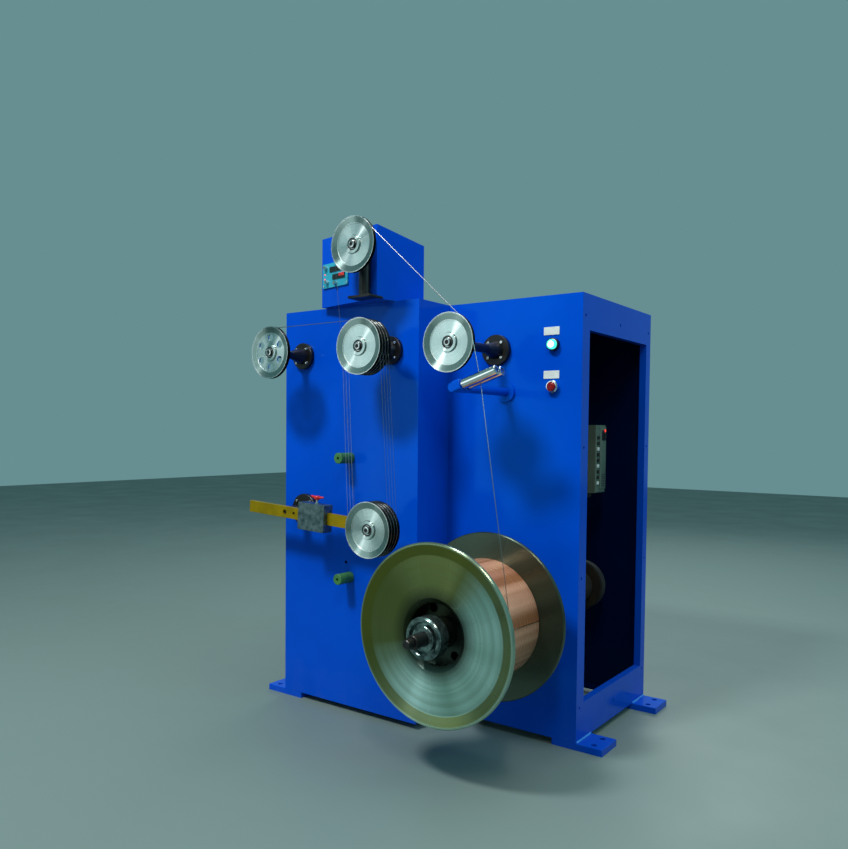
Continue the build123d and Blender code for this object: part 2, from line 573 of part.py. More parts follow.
with BuildPart() as driven_pulley:
    with BuildSketch(Plane(origin=(REEL_X, 0, REEL_Z), x_dir=(1, 0, 0), z_dir=(0, 0, 1))):
        with BuildLine():
            Polyline((SPINDLE_R, PULLEY_Y0), (BIG_R + 3, PULLEY_Y0), (BIG_R + 3, PULLEY_Y0 + 3),
                     (BIG_R, PULLEY_Y0 + 4), (BIG_R, PULLEY_Y1 - 4), (BIG_R + 3, PULLEY_Y1 - 3),
                     (BIG_R + 3, PULLEY_Y1), (BIG_R - 8, PULLEY_Y1), (BIG_R - 10, PULLEY_Y1 - 10),
                     (SPINDLE_R + 14, PULLEY_Y1 - 10), (SPINDLE_R + 12, PULLEY_Y1), (SPINDLE_R, PULLEY_Y1), close=True)
        make_face()
    revolve(axis=Axis((REEL_X, 0, REEL_Z), (0, 1, 0)), revolution_arc=360)
save(driven_pulley.part, "driven_pulley")
MOTOR_SEAT = FOOT_T + ANGLE_T + RAIL_T
with BuildPart() as motor:
    with BuildSketch(front_plane(MOTOR_X, MOTOR_Y1, MOTOR_Z)):
        Circle(MOTOR_R)
        with PolarLocations(MOTOR_R, 16):
            Rectangle(10.0, 3.0)
    extrude(amount=MOTOR_Y1 - MOTOR_Y0)
    with BuildSketch(front_plane(MOTOR_X, MOTOR_Y0 + 40.0, MOTOR_Z)):
        Circle(MOTOR_R + 5.0)
    extrude(amount=50.0)
    for width, depth, height in ((FOOTING_W, FOOTING_D, FOOTING_T),
                                 (PEDESTAL_W, FOOTING_D - 20.0, MOTOR_Z - MOTOR_R - MOTOR_SEAT + 10.0)):
        with BuildSketch(Plane.XY.offset(MOTOR_SEAT)):
            with Locations((MOTOR_X, MOTOR_MID)):
                Rectangle(width, depth)
        extrude(amount=height)
    with BuildSketch(Plane.XY.offset(MOTOR_Z)):
        with Locations((MOTOR_X, MOTOR_MID - 25.0)):
            Rectangle(JUNCTION_W, JUNCTION_D)
    extrude(amount=MOTOR_R + JUNCTION_H)
save(motor.part, "drive_motor")
with BuildPart() as rails:
    with BuildSketch(Plane.XY.offset(FOOT_T + ANGLE_T)):
        with Locations((MOTOR_X, (CAB_FRONT + BODY_BACK) / 2)):
            with GridLocations(RAIL_SPACING, 1, 2, 1):
                Rectangle(RAIL_W, BODY_BACK - CAB_FRONT - 4 * ANGLE_T - 2 * SHEET)
    extrude(amount=RAIL_T)
save(rails.part, "motor_rails")
with BuildPart() as belt:
    for grow, mode in ((TOUCH + BELT_T, Mode.ADD), (TOUCH, Mode.SUBTRACT)):
        with BuildSketch(front_plane(0, BELT_BACK, 0)):
            with Locations((REEL_X, REEL_Z)):
                Circle(BIG_R + grow)
            with Locations((MOTOR_X, MOTOR_Z)):
                Circle(SMALL_R + grow)
            make_hull()
        extrude(amount=BELT_W, mode=mode)
save(belt.part, "drive_belt")
with BuildPart() as motor_pulley:
    with BuildSketch(Plane(origin=(MOTOR_X, 0, MOTOR_Z), x_dir=(1, 0, 0), z_dir=(0, 0, 1))):
        with BuildLine():
            Polyline((0, MOTOR_Y1 + TOUCH), (12, MOTOR_Y1 + TOUCH), (12, PULLEY_Y0), (SMALL_R + 3, PULLEY_Y0),
                     (SMALL_R + 3, PULLEY_Y0 + 3), (SMALL_R, PULLEY_Y0 + 4), (SMALL_R, PULLEY_Y1 - 4),
                     (SMALL_R + 3, PULLEY_Y1 - 3), (SMALL_R + 3, PULLEY_Y1), (0, PULLEY_Y1), close=True)
        make_face()
    revolve(axis=Axis((MOTOR_X, 0, MOTOR_Z), (0, 1, 0)), revolution_arc=360)
save(motor_pulley.part, "motor_pulley")

# Inverter on a standing plate fixed to the rear panel
INV_X1, INV_Y0, INV_Z0 = RIGHT - 81.5, BODY_BACK - 159.0, REEL_Z + 260.0
INV_W, INV_D, INV_H = 61.0, 125.0, 180.0
INV_X0, INV_Y1, INV_Z1 = INV_X1 - INV_D, INV_Y0 + INV_W, INV_Z0 + INV_H
INV_MARGIN, INV_PLATE_T = 60.0, 4.0
slab("inverter_plate", INV_X0 - INV_PLATE_T, INV_X0, INV_Y0 - INV_MARGIN, BODY_BACK - SHEET,
     INV_Z0 - INV_MARGIN, INV_Z1 + INV_MARGIN)
with BuildPart() as inverter:
    with Locations(((INV_X0 + INV_X1) / 2, (INV_Y0 + INV_Y1) / 2, (INV_Z0 + INV_Z1) / 2)):
        Box(INV_D, INV_W, INV_H)
    fillet(inverter.faces().sort_by(Axis.X)[-1].edges(), 4.0)
save(inverter.part, "inverter")

# Copper wire: taut runs and the arcs on the sheaves
WIRE_R = 0.8
WIRE_PATH_R = SHEAVE_R - GROOVE_D + TOUCH + WIRE_R
WIRE_SIDES = 8
JOIN_GAP = 0.15


def groove(y, k=0):
    return y + SHEAVE_W / 2 + k * SHEAVE_W


def rim_point(centre, angle, radius, y):
    a = math.radians(angle)
    return (centre[0] + radius * math.cos(a), y, centre[1] + radius * math.sin(a))


def run(p, q, short=0.0):
    # a straight piece of wire between two points, stopping a little short of both where asked
    way = Vector(*q) - Vector(*p)
    with BuildPart(mode=Mode.PRIVATE) as piece:
        with BuildSketch(Plane(origin=Vector(*p) + way.normalized() * short, z_dir=way)):
            RegularPolygon(radius=WIRE_R, side_count=WIRE_SIDES)
        extrude(amount=way.length - 2 * short)
    return piece.part


def bend(centre, y, start, end, radius=WIRE_PATH_R):
    # wire lying in a groove from one angle to another, turning from +X towards +Z
    p = rim_point(centre, start, radius, y)
    out = (math.cos(math.radians(start)), 0, math.sin(math.radians(start)))
    with BuildPart(mode=Mode.PRIVATE) as piece:
        with BuildSketch(Plane(origin=p, x_dir=out, z_dir=(-out[2], 0, out[0]))):
            RegularPolygon(radius=WIRE_R, side_count=WIRE_SIDES)
        revolve(axis=Axis((centre[0], y, centre[1]), (0, -1, 0)), revolution_arc=end - start)
    return piece.part


def tangent(a, ra, b, rb):
    # angle of the outer tangent points of two circles, on the side to the right of the way from a to b
    dx, dz = b[0] - a[0], b[1] - a[1]
    return math.degrees(math.atan2(dz, dx) - math.acos((ra - rb) / math.hypot(dx, dz)))


def combine(label, pieces):
    with BuildPart() as made:
        for piece in pieces:
            add(piece)
    save(made.part, label)


left_c, mid_c, right_c = (LEFT_X, SHEAVE_Z), (MID_X, SHEAVE_Z), (RIGHT_X, SHEAVE_Z)
top_c, reel_c = (TOP_X, TOP_Z), (REEL_X, REEL_Z)
dancer_c = (dancer_at.X, dancer_at.Z)
left_y, right_y, top_y = groove(LEFT_Y), groove(RIGHT_Y), groove(TOP_Y)
PAY_Y = (REEL_FRONT + REEL_BACK) / 2 - 20.5
GUIDE_Z = ROLL_Z + 12.0
wind_r = COPPER_R + TOUCH + WIRE_R

# from the winding through the guide rollers, over the right and the top sheave
a_up = tangent(reel_c, wind_r, right_c, WIRE_PATH_R)
reel_p = rim_point(reel_c, a_up, wind_r, PAY_Y)
right_p = rim_point(right_c, a_up, WIRE_PATH_R, right_y)
share = (GUIDE_Z - reel_p[2]) / (right_p[2] - reel_p[2])
guide_p = (reel_p[0] + share * (right_p[0] - reel_p[0]), right_y, GUIDE_Z)
a_over = tangent(right_c, WIRE_PATH_R, top_c, WIRE_PATH_R)
right_q = rim_point(right_c, a_over, WIRE_PATH_R, right_y)
top_p = rim_point(top_c, a_over, WIRE_PATH_R, top_y)
a_down = tangent(top_c, WIRE_PATH_R, dancer_c, WIRE_PATH_R) % 360
feed = [run(reel_p, guide_p), run(guide_p, right_p), bend(right_c, right_y, a_up, a_over),
        run(right_q, top_p), bend(top_c, top_y, a_over, a_down)]

# four falls between the middle and the dancer sheaves, then on to the left sheave
a_rise = tangent(dancer_c, WIRE_PATH_R, mid_c, WIRE_PATH_R)
falls, low_bends, high_bends = [], [], []
for k in range(STACK_N):
    y = groove(MID_Y, k)
    falls.append(run(rim_point(dancer_c, a_rise, WIRE_PATH_R, y),
                     rim_point(mid_c, a_rise, WIRE_PATH_R, y), JOIN_GAP))
    if k:
        falls.append(run(rim_point(mid_c, a_rise + 180, WIRE_PATH_R, y),
                         rim_point(dancer_c, a_rise + 180, WIRE_PATH_R, groove(DANCER_Y, k - 1)), JOIN_GAP))
    start = a_down if k == STACK_N - 1 else a_rise + 180
    low_bends.append(bend(dancer_c, groove(DANCER_Y, k), start, a_rise + 360))
    high_bends.append(bend(mid_c, y, a_rise, a_rise + 180 if k else 90))
across = run(rim_point(mid_c, 90, WIRE_PATH_R, groove(MID_Y)), rim_point(left_c, 90, WIRE_PATH_R, left_y))
combine("wire_upper", feed + high_bends + [across, bend(left_c, left_y, 90, 150)])
combine("wire_dancer_bends", low_bends)
combine("wire_falls", falls)
combine("wire_top_fall", [run(rim_point(top_c, a_down, WIRE_PATH_R, top_y),
                              rim_point(dancer_c, a_down, WIRE_PATH_R, groove(DANCER_Y, STACK_N - 1)),
                              JOIN_GAP)])
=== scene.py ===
import bpy
import bmesh
import math
from mathutils import Matrix, Vector


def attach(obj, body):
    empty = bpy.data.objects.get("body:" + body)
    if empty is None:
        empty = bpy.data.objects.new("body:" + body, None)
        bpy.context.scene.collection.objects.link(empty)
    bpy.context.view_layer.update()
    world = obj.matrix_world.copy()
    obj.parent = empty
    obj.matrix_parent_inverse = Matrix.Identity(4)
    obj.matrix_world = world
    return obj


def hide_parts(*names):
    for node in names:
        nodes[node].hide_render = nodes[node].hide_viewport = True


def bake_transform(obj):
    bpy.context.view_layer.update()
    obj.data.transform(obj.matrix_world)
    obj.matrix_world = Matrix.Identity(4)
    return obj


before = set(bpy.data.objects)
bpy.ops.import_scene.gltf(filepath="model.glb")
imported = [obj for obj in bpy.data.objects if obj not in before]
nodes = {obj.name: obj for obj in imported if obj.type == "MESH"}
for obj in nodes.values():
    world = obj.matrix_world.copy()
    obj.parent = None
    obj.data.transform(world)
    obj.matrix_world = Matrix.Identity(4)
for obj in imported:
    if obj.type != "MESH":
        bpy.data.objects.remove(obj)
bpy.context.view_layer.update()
scene = bpy.context.scene
mm = 0.001

# camera first, at the photo's viewing angle
cameraView = {"place": (1.1889, -1.6660, 0.7376), "azimuth": 36.04, "elevation": 2.12, "roll": 0.565,
              "lens": 33.553, "shiftUp": 0.0431}


def placeCamera(view):
    az, el, roll = (math.radians(view[k]) for k in ("azimuth", "elevation", "roll"))
    back = Vector((math.sin(az) * math.cos(el), -math.cos(az) * math.cos(el), math.sin(el)))
    right = Vector((math.cos(az), math.sin(az), 0))
    up = back.cross(right)
    side = math.cos(roll) * right + math.sin(roll) * up
    top = -math.sin(roll) * right + math.cos(roll) * up
    data = bpy.data.cameras.new("photoCamera")
    data.lens, data.sensor_width, data.shift_y = view["lens"], 36.0, view["shiftUp"]
    data.clip_start, data.clip_end = 0.05, 60.0
    cam = bpy.data.objects.new("photoCamera", data)
    scene.collection.objects.link(cam)
    cam.matrix_world = Matrix((side, top, back)).transposed().to_4x4()
    cam.location = view["place"]
    scene.camera = cam


placeCamera(cameraView)
print("camera placed")

# where the real pieces turn or sit, in mm, as the CAD has them
layout = {"left": (-340.3, -247.0, 938.0), "middle": (-40.0, -247.0, 938.0), "right": (186.5, -204.4, 938.0),
          "top": (-73.0, -232.0, 1183.0), "pivot": (-331.5, -199.0, 523.0), "reel": (259.5, -357.0, 320.0),
          "box": (-262.7, -133.0, 1060.0)}
armTurn = math.radians(3.2)
# the control box's own frame: x to the right along it, y into it, z up
boxFrame = Matrix.Translation(Vector(layout["box"]) * mm) @ Matrix.Rotation(math.radians(-11.0), 4, "Z")


def armPoint(along, depth, lift):
    # a point on the arm: along it from the pivot, back from its front face, and up from its middle
    c, s = math.cos(armTurn), math.sin(armTurn)
    x, y, z = layout["pivot"]
    return (x + along * c + lift * s, y + depth, z - along * s + lift * c)


dancerHub = armPoint(323.5, -48.0, 0.0)
# centre, node, grooves and holes of each wheel or stack
wheels = {"left": (layout["left"], "left_sheave", 1, 6), "middle": (layout["middle"], "middle_sheaves", 4, 0),
          "right": (layout["right"], "right_sheave", 1, 0), "top": (layout["top"], "top_sheave", 1, 0),
          "dancer": (dancerHub, "dancer_sheaves", 4, 0)}


# makers for shader nodes
def setInputs(tree, node, values):
    # a value is plain, or another node's output to link
    for key, value in values.items():
        socket = node.inputs[key]
        if isinstance(value, bpy.types.NodeSocket):
            tree.links.new(value, socket)
        else:
            socket.default_value = (*value, 1.0) if socket.type == "RGBA" and len(value) == 3 else value


def addNode(tree, kind, values=None, **attributes):
    made = tree.nodes.new(kind)
    for key, value in attributes.items():
        setattr(made, key, value)
    setInputs(tree, made, values or {})
    return made


def mathNode(tree, operation, first, second=None, clamp=False):
    values = {0: first} if second is None else {0: first, 1: second}
    return addNode(tree, "ShaderNodeMath", values, operation=operation, use_clamp=clamp).outputs[0]


def vectorNode(tree, operation, values):
    return addNode(tree, "ShaderNodeVectorMath", values, operation=operation).outputs


def mixColour(tree, factor, first, second):
    return addNode(tree, "ShaderNodeMix", {0: factor, 6: first, 7: second}, data_type="RGBA").outputs[2]


def axisOf(tree, vector, axis):
    return addNode(tree, "ShaderNodeSeparateXYZ", {0: vector}).outputs[axis]


def ramp(tree, value, low, high, start=0.0, end=1.0):
    values = {"Value": value, "From Min": low, "From Max": high, "To Min": start, "To Max": end}
    return addNode(tree, "ShaderNodeMapRange", values).outputs[0]


def noiseOn(tree, where, scale, detail, roughness=0.5, line=False):
    values = {"W" if line else "Vector": where, "Scale": scale, "Detail": detail, "Roughness": roughness}
    return addNode(tree, "ShaderNodeTexNoise", values, noise_dimensions="1D" if line else "3D").outputs[0]


def bumpOn(tree, height, strength, distance):
    return addNode(tree, "ShaderNodeBump", {"Height": height, "Strength": strength, "Distance": distance}).outputs[0]


def newGroup(name, inputs, outputs):
    group = bpy.data.node_groups.new(name, "ShaderNodeTree")
    for label, value in inputs.items():
        kind = "Vector" if value is None else "Color" if isinstance(value, tuple) else "Float"
        made = group.interface.new_socket(name=label, in_out="INPUT", socket_type="NodeSocket" + kind)
        if value is not None:
            made.default_value = value
    for label, kind in outputs.items():
        group.interface.new_socket(name=label, in_out="OUTPUT", socket_type="NodeSocket" + kind)
    return group, group.nodes.new("NodeGroupInput").outputs, group.nodes.new("NodeGroupOutput")


# the cabinet's hollow, where the blue paint gets painted shade: axis, and where the painted shade starts and is full,
# from outside to inside
cabinetHollow = ((0, -0.4096, -0.4088), (0, 0.3934, 0.3926), (1, 0.0145, 0.0153), (1, 0.4418, 0.4411),
                 (2, 1.0578, 1.0571))


surfaceOutputs = {"Colour": "Color", "Roughness": "Float", "Height": "Float"}


def buildCoatGroup():
    # sprayed paint or moulded skin: slow colour drift, fine speckle, dust that settles low and on flat tops, and
    # painted shade, near black, inside the cabinet's hollow
    group, start, end = newGroup("sprayedCoat", {
        "Colour": (0, 0.1, 0.7, 1), "Dark Colour": (0, 0.05, 0.4, 1), "Dust Colour": (0.35, 0.36, 0.36, 1),
        "Drift Scale": 3.0, "Peel Scale": 260.0, "Dust": 0.3, "Gloss Low": 0.2, "Gloss High": 0.34,
        "Inside Shade": 0.0}, surfaceOutputs)
    place = addNode(group, "ShaderNodeTexCoord").outputs
    here = place["Object"]
    drift = noiseOn(group, here, start["Drift Scale"], 4.0, 0.55)
    smear = noiseOn(group, here, 22.0, 6.0, 0.7)
    base = mixColour(group, ramp(group, drift, 0.35, 0.7), start["Colour"], start["Dark Colour"])
    low = ramp(group, axisOf(group, here, 2), 0.16, 0.0, 0.0, 0.6)
    flat = ramp(group, axisOf(group, place["Normal"], 2), 0.6, 1.0, 0.0, 0.5)
    settle = mathNode(group, "MAXIMUM", low, flat)
    patch = mathNode(group, "MULTIPLY", settle, ramp(group, smear, 0.38, 0.66))
    dust = mathNode(group, "MULTIPLY", patch, start["Dust"])
    dustAndSheen = mixColour(group, dust, base, start["Dust Colour"])
    # painted shade: the paint turns near black inside the cabinet's hollow, as far as Inside Shade asks
    shade = start["Inside Shade"]
    for axis, outer, inner in cabinetHollow:
        shade = mathNode(group, "MULTIPLY", ramp(group, axisOf(group, here, axis), outer, inner), shade)
    gloss = ramp(group, smear, 0.3, 0.7, start["Gloss Low"], start["Gloss High"])
    setInputs(group, end, {
        "Colour": mixColour(group, shade, dustAndSheen, (0.0, 0.001, 0.003)),
        "Roughness": mathNode(group, "ADD", gloss, mathNode(group, "MULTIPLY", dust, 0.5), clamp=True),
        "Height": noiseOn(group, here, start["Peel Scale"], 2.0)})
    return group


def buildLatheGroup():
    # face turned on a lathe: fine rings, and streaks that run out from the centre
    group, start, end = newGroup("latheCuts", {"Vector": None, "Rings": 900.0, "Streaks": 3.0}, {
        "Radius": "Float", "Streak": "Float", "Height": "Float", "Band": "Float", "Way": "Vector"})
    flat = vectorNode(group, "MULTIPLY", {0: start["Vector"], 1: (1.0, 0.0, 1.0)})[0]
    size, unit = vectorNode(group, "LENGTH", {0: flat})["Value"], vectorNode(group, "NORMALIZE", {0: flat})[0]
    setInputs(group, end, {
        "Radius": size, "Way": unit, "Streak": noiseOn(group, unit, start["Streaks"], 2.0),
        "Height": noiseOn(group, size, start["Rings"], 3.0, 0.65, line=True),
        "Band": noiseOn(group, size, 95.0, 1.0, line=True)})
    return group


def buildGrainGroup():
    # ground, cast or mottled metal: blotches of tone and a fine tooth
    group, start, end = newGroup("metalGrain", {
        "Colour": (0.4, 0.42, 0.43, 1), "Blotch Colour": (0.2, 0.24, 0.25, 1), "Blotch Scale": 40.0,
        "Tooth Scale": 600.0, "Gloss Low": 0.3, "Gloss High": 0.5}, surfaceOutputs)
    here = addNode(group, "ShaderNodeTexCoord").outputs["Object"]
    blotch = noiseOn(group, here, start["Blotch Scale"], 5.0, 0.62)
    setInputs(group, end, {
        "Colour": mixColour(group, ramp(group, blotch, 0.36, 0.66), start["Colour"], start["Blotch Colour"]),
        "Roughness": ramp(group, blotch, 0.3, 0.7, start["Gloss Low"], start["Gloss High"]),
        "Height": noiseOn(group, here, start["Tooth Scale"], 3.0, 0.6)})
    return group


coatGroup, latheGroup, grainGroup = buildCoatGroup(), buildLatheGroup(), buildGrainGroup()


def startMaterial(name, constants):
    material = bpy.data.materials.new(name)
    material.use_nodes = True
    tree = material.node_tree
    shader = tree.nodes["Principled BSDF"]
    setInputs(tree, shader, constants)
    return material, tree, shader


def surfaceMaterials(table, group, keys, depth):
    # each row: the group's values in the order of keys, the bump, and what the shader itself gets
    made = {}
    for name, (values, bump, constants) in table.items():
        made[name], tree, shader = startMaterial(name + "Finish", constants)
        surface = addNode(tree, "ShaderNodeGroup", dict(zip(keys, values)), node_tree=group).outputs
        setInputs(tree, shader, {"Base Color": surface["Colour"], "Roughness": surface["Roughness"],
                                 "Normal": bumpOn(tree, surface["Height"], bump, depth)})
    return made


def latheCuts(tree, here, centre, values):
    # the lathe pattern, moved onto the wheel's own axle
    moved = addNode(tree, "ShaderNodeMapping", {"Vector": here, "Location": tuple(-v * mm for v in centre)})
    return addNode(tree, "ShaderNodeGroup", {"Vector": moved.outputs[0], **values}, node_tree=latheGroup).outputs


def aroundAxle(tree):
    return addNode(tree, "ShaderNodeTangent", direction_type="RADIAL", axis="Y").outputs[0]


def latheMaterial(name, centre, look):
    material, tree, shader = startMaterial(name, look["constants"])
    place = addNode(tree, "ShaderNodeTexCoord").outputs
    cuts = latheCuts(tree, place["Object"], centre, {"Rings": look["rings"], "Streaks": look["streaks"]})
    streak, radius = cuts["Streak"], cuts["Radius"]
    tone = mixColour(tree, ramp(tree, streak, 0.38, 0.62), look["colour"], look["streakColour"])
    tone = mixColour(tree, ramp(tree, cuts["Band"], 0.4, 0.62, 0.0, look["bandShare"]), tone, look["bandColour"])
    for way, low, high, share, colour in look.get("leanShade", ()):  # painted shade that leans to one side of the disc
        lean = vectorNode(tree, "DOT_PRODUCT", {0: cuts["Way"], 1: way})["Value"]
        uneven = mathNode(tree, "ADD", lean, ramp(tree, streak, 0.3, 0.7, -0.35, 0.35))
        tone = mixColour(tree, ramp(tree, uneven, low, high, 0.0, share), tone, colour)
    # painted shade and highlights in rings between two radii: dark bands on dished cones, hub steps and mouths,
    # bright lines along edges
    for low, high, soft, share, colour in look["shadeAndHighlightRings"]:  # rings between two radii, in metres
        inside = mathNode(tree, "MULTIPLY", ramp(tree, radius, low - soft, low + soft),
                          ramp(tree, radius, high + soft, high - soft, 0.0, share))
        tone = mixColour(tree, inside, tone, colour)
    # painted shade: the rear flange darker than the front one
    if "rear" in look:
        depth, colour = look["rear"]
        tone = mixColour(tree, ramp(tree, axisOf(tree, place["Object"], 1), *depth), tone, colour)
    rough = ramp(tree, streak, 0.35, 0.65, look["glossLow"], look["glossHigh"])
    # painted shade on the rim: faces that look sideways, beyond the groove floor's radius, turn near black
    if "groove" in look:
        start, colour = look["groove"]
        facing = mathNode(tree, "ABSOLUTE", axisOf(tree, place["Normal"], 1))
        deep = mathNode(tree, "MULTIPLY", ramp(tree, facing, 0.97, 0.9), ramp(tree, radius, start, start + 0.0004))
        tone = mixColour(tree, deep, tone, colour)
        rough = mathNode(tree, "ADD", rough, mathNode(tree, "MULTIPLY", deep, 0.2), clamp=True)
    setInputs(tree, shader, {"Base Color": tone, "Roughness": rough, "Tangent": aroundAxle(tree),
                             "Normal": bumpOn(tree, cuts["Height"], look["bump"], 0.0002)})
    return material


coatKeys = ("Colour", "Dark Colour", "Dust", "Gloss Low", "Gloss High", "Drift Scale", "Peel Scale", "Inside Shade")
paints = {
    # blue's last value is the painted shade inside the cabinet's hollow
    "blue": (((0.0, 0.072, 0.6), (0.0, 0.06, 0.52), 0.04, 0.1, 0.18, 3.0, 260.0, 0.93), 0.06,
             {"Specular IOR Level": 0.26, "Specular Tint": (0.0, 0.5, 1.0)}),
    # painted highlight: the weld beads a lighter blue than the body
    "weldHighlightBlue": (((0.03, 0.3, 0.8), (0.0, 0.16, 0.6), 0.1, 0.2, 0.3, 60.0), 0.3, {}),
    "black": (((0.0035, 0.0035, 0.004), (0.002, 0.002, 0.0025), 0.05, 0.3, 0.42, 20.0, 700.0), 0.2,
              {"Specular IOR Level": 0.45}),
    "yellow": (((0.36, 0.25, 0.002), (0.25, 0.18, 0.002), 0.06, 0.26, 0.42, 26.0, 500.0), 0.18,
               {"Metallic": 0.5, "Specular IOR Level": 0.2}),
    "greenRubber": (((0.045, 0.19, 0.045), (0.02, 0.1, 0.03), 0.1, 0.4, 0.55, 30.0, 800.0), 0.3, {}),
    "redPlastic": (((0.62, 0.012, 0.012), (0.4, 0.006, 0.006), 0.1, 0.2, 0.32, 60.0, 900.0), 0.1,
                   {"Coat Weight": 0.3}),
    "darkRed": (((0.26, 0.004, 0.005), (0.1, 0.003, 0.004), 0.05, 0.15, 0.24, 90.0, 900.0), 0.08,
                {"Coat Weight": 0.15, "Specular IOR Level": 0.3}),
    "whitePlate": (((0.66, 0.72, 0.7), (0.55, 0.62, 0.6), 0.1, 0.3, 0.4, 60.0, 900.0), 0.1, {}),
    "tealPlate": (((0.03, 0.36, 0.5), (0.02, 0.3, 0.42), 0.1, 0.25, 0.35, 50.0, 900.0), 0.08, {}),
    # grey plastic's own colour, kept darker as painted shade for the inside of the cabinet
    "greyPlasticShaded": (((0.1, 0.15, 0.12), (0.08, 0.12, 0.1), 0.15, 0.38, 0.5, 20.0, 900.0), 0.25, {}),
    "blackPlastic": (((0.01, 0.01, 0.011), (0.006, 0.006, 0.007), 0.1, 0.35, 0.5, 40.0, 900.0), 0.15, {}),
    "rubber": (((0.012, 0.012, 0.012), (0.02, 0.02, 0.02), 0.4, 0.55, 0.7, 40.0, 700.0), 0.3, {}),
    "displayWindow": (((0.006, 0.006, 0.008), (0.01, 0.006, 0.006), 0.05, 0.08, 0.14, 80.0, 900.0), 0.03,
                      {"Coat Weight": 0.5}),
}
paint = surfaceMaterials(paints, coatGroup, coatKeys, 0.0004)

grainKeys = ("Colour", "Blotch Colour", "Blotch Scale", "Tooth Scale", "Gloss Low", "Gloss High")
metals = {
    "steel": (((0.17, 0.24, 0.25), (0.035, 0.075, 0.085), 60.0, 700.0, 0.26, 0.42), 0.2, {"Metallic": 0.8}),
    "greasySteel": (((0.2, 0.3, 0.29), (0.012, 0.03, 0.03), 75.0, 260.0, 0.14, 0.3), 0.45, {"Metallic": 0.85}),
    "brightSteel": (((0.72, 0.74, 0.74), (0.55, 0.58, 0.58), 90.0, 900.0, 0.16, 0.28), 0.08, {"Metallic": 1.0}),
    "chrome": (((0.8, 0.82, 0.82), (0.72, 0.75, 0.75), 60.0, 900.0, 0.05, 0.11), 0.03, {"Metallic": 1.0}),
    # cast iron's own colour, kept darker as painted shade for the inside of the cabinet
    "castIronShaded": (((0.04, 0.032, 0.024), (0.018, 0.016, 0.014), 30.0, 450.0, 0.45, 0.62), 0.5, {"Metallic": 0.5}),
    "galvanised": (((0.36, 0.39, 0.4), (0.26, 0.29, 0.31), 70.0, 300.0, 0.32, 0.5), 0.15, {"Metallic": 0.8}),
    "copperWire": (((0.34, 0.35, 0.35), (0.26, 0.25, 0.24), 8.0, 900.0, 0.2, 0.3), 0.02, {"Metallic": 1.0}),
    "copperTurn": (((0.95, 0.5, 0.32), (0.85, 0.4, 0.24), 120.0, 900.0, 0.2, 0.3), 0.02, {"Metallic": 1.0}),
}
metal = surfaceMaterials(metals, grainGroup, grainKeys, 0.0003)

sheaveLook = {"constants": {"Metallic": 1.0, "Anisotropic": 0.9, "Anisotropic Rotation": 0.25}, "rings": 1500.0,
              "streaks": 1.6, "colour": (0.54, 0.66, 0.64), "streakColour": (0.76, 0.87, 0.85), "bandShare": 0.15,
              "bandColour": (0.36, 0.46, 0.44), "glossLow": 0.22, "glossHigh": 0.32, "bump": 0.06,
              # painted rings: shade on the dished cone and at the hub step, highlights on the rim's edge and the
              # web's edge
              "shadeAndHighlightRings": ((0.0512, 0.0645, 0.0008, 0.85, (0.2, 0.29, 0.27)),
                        (0.065, 0.0675, 0.0004, 0.9, (0.95, 1.0, 0.98)),
                        (0.0494, 0.0504, 0.0003, 0.7, (0.85, 0.92, 0.9)),
                        (0.0213, 0.0232, 0.0004, 0.75, (0.2, 0.27, 0.26))),
              # the rim's painted shade: where it starts, and its colour
              "groove": (0.0605, (0.012, 0.014, 0.014))}
reelLook = {"constants": {"Metallic": 0.9, "Anisotropic": 0.85, "Anisotropic Rotation": 0.25}, "rings": 420.0,
            "streaks": 0.9, "colour": (0.21, 0.38, 0.31), "streakColour": (0.46, 0.72, 0.67), "bandShare": 0.25,
            "bandColour": (0.11, 0.2, 0.12), "glossLow": 0.2, "glossHigh": 0.32, "bump": 0.06,
            # painted shade on the reel: the upper left of each flange darker and olive
            "leanShade": (((-0.62, 0.0, 0.78), -0.15, 0.45, 0.94, (0.105, 0.13, 0.024)),),
            # painted rings: shade on the outer cone band and in the hub's mouth, a highlight on the rim's edge
            "shadeAndHighlightRings": ((0.166, 0.187, 0.0015, 0.85, (0.12, 0.14, 0.022)),
                      (0.187, 0.193, 0.0008, 0.6, (0.3, 0.4, 0.28)),
                      (0.0, 0.09, 0.016, 0.88, (0.022, 0.03, 0.018)),
                      (0.0, 0.067, 0.004, 0.6, (0.008, 0.012, 0.01))),
            # the rear flange's painted shade
            "rear": ((-0.25, -0.2), (0.07, 0.1, 0.075))}
wheelMaterial = {key: latheMaterial(key + "WheelFinish", wheel[0], sheaveLook) for key, wheel in wheels.items()}
reelMaterial = latheMaterial("reelFlangeFinish", layout["reel"], reelLook)

# dark is the painted shade between the turns; dustAndSheen colours the painted reflection bands
windingLook = {"turns": 98.125, "colour": (1.0, 0.52, 0.36), "dark": (0.72, 0.28, 0.17), "around": 3.2,
               "tarnish": (0.6, 0.36, 0.22), "dustAndSheen": (0.42, 0.16, 0.075), "gloss": (0.2, 0.3), "bump": 0.15,
               "constants": {"Metallic": 0.45, "Anisotropic": 0.8, "Anisotropic Rotation": 0.25}}


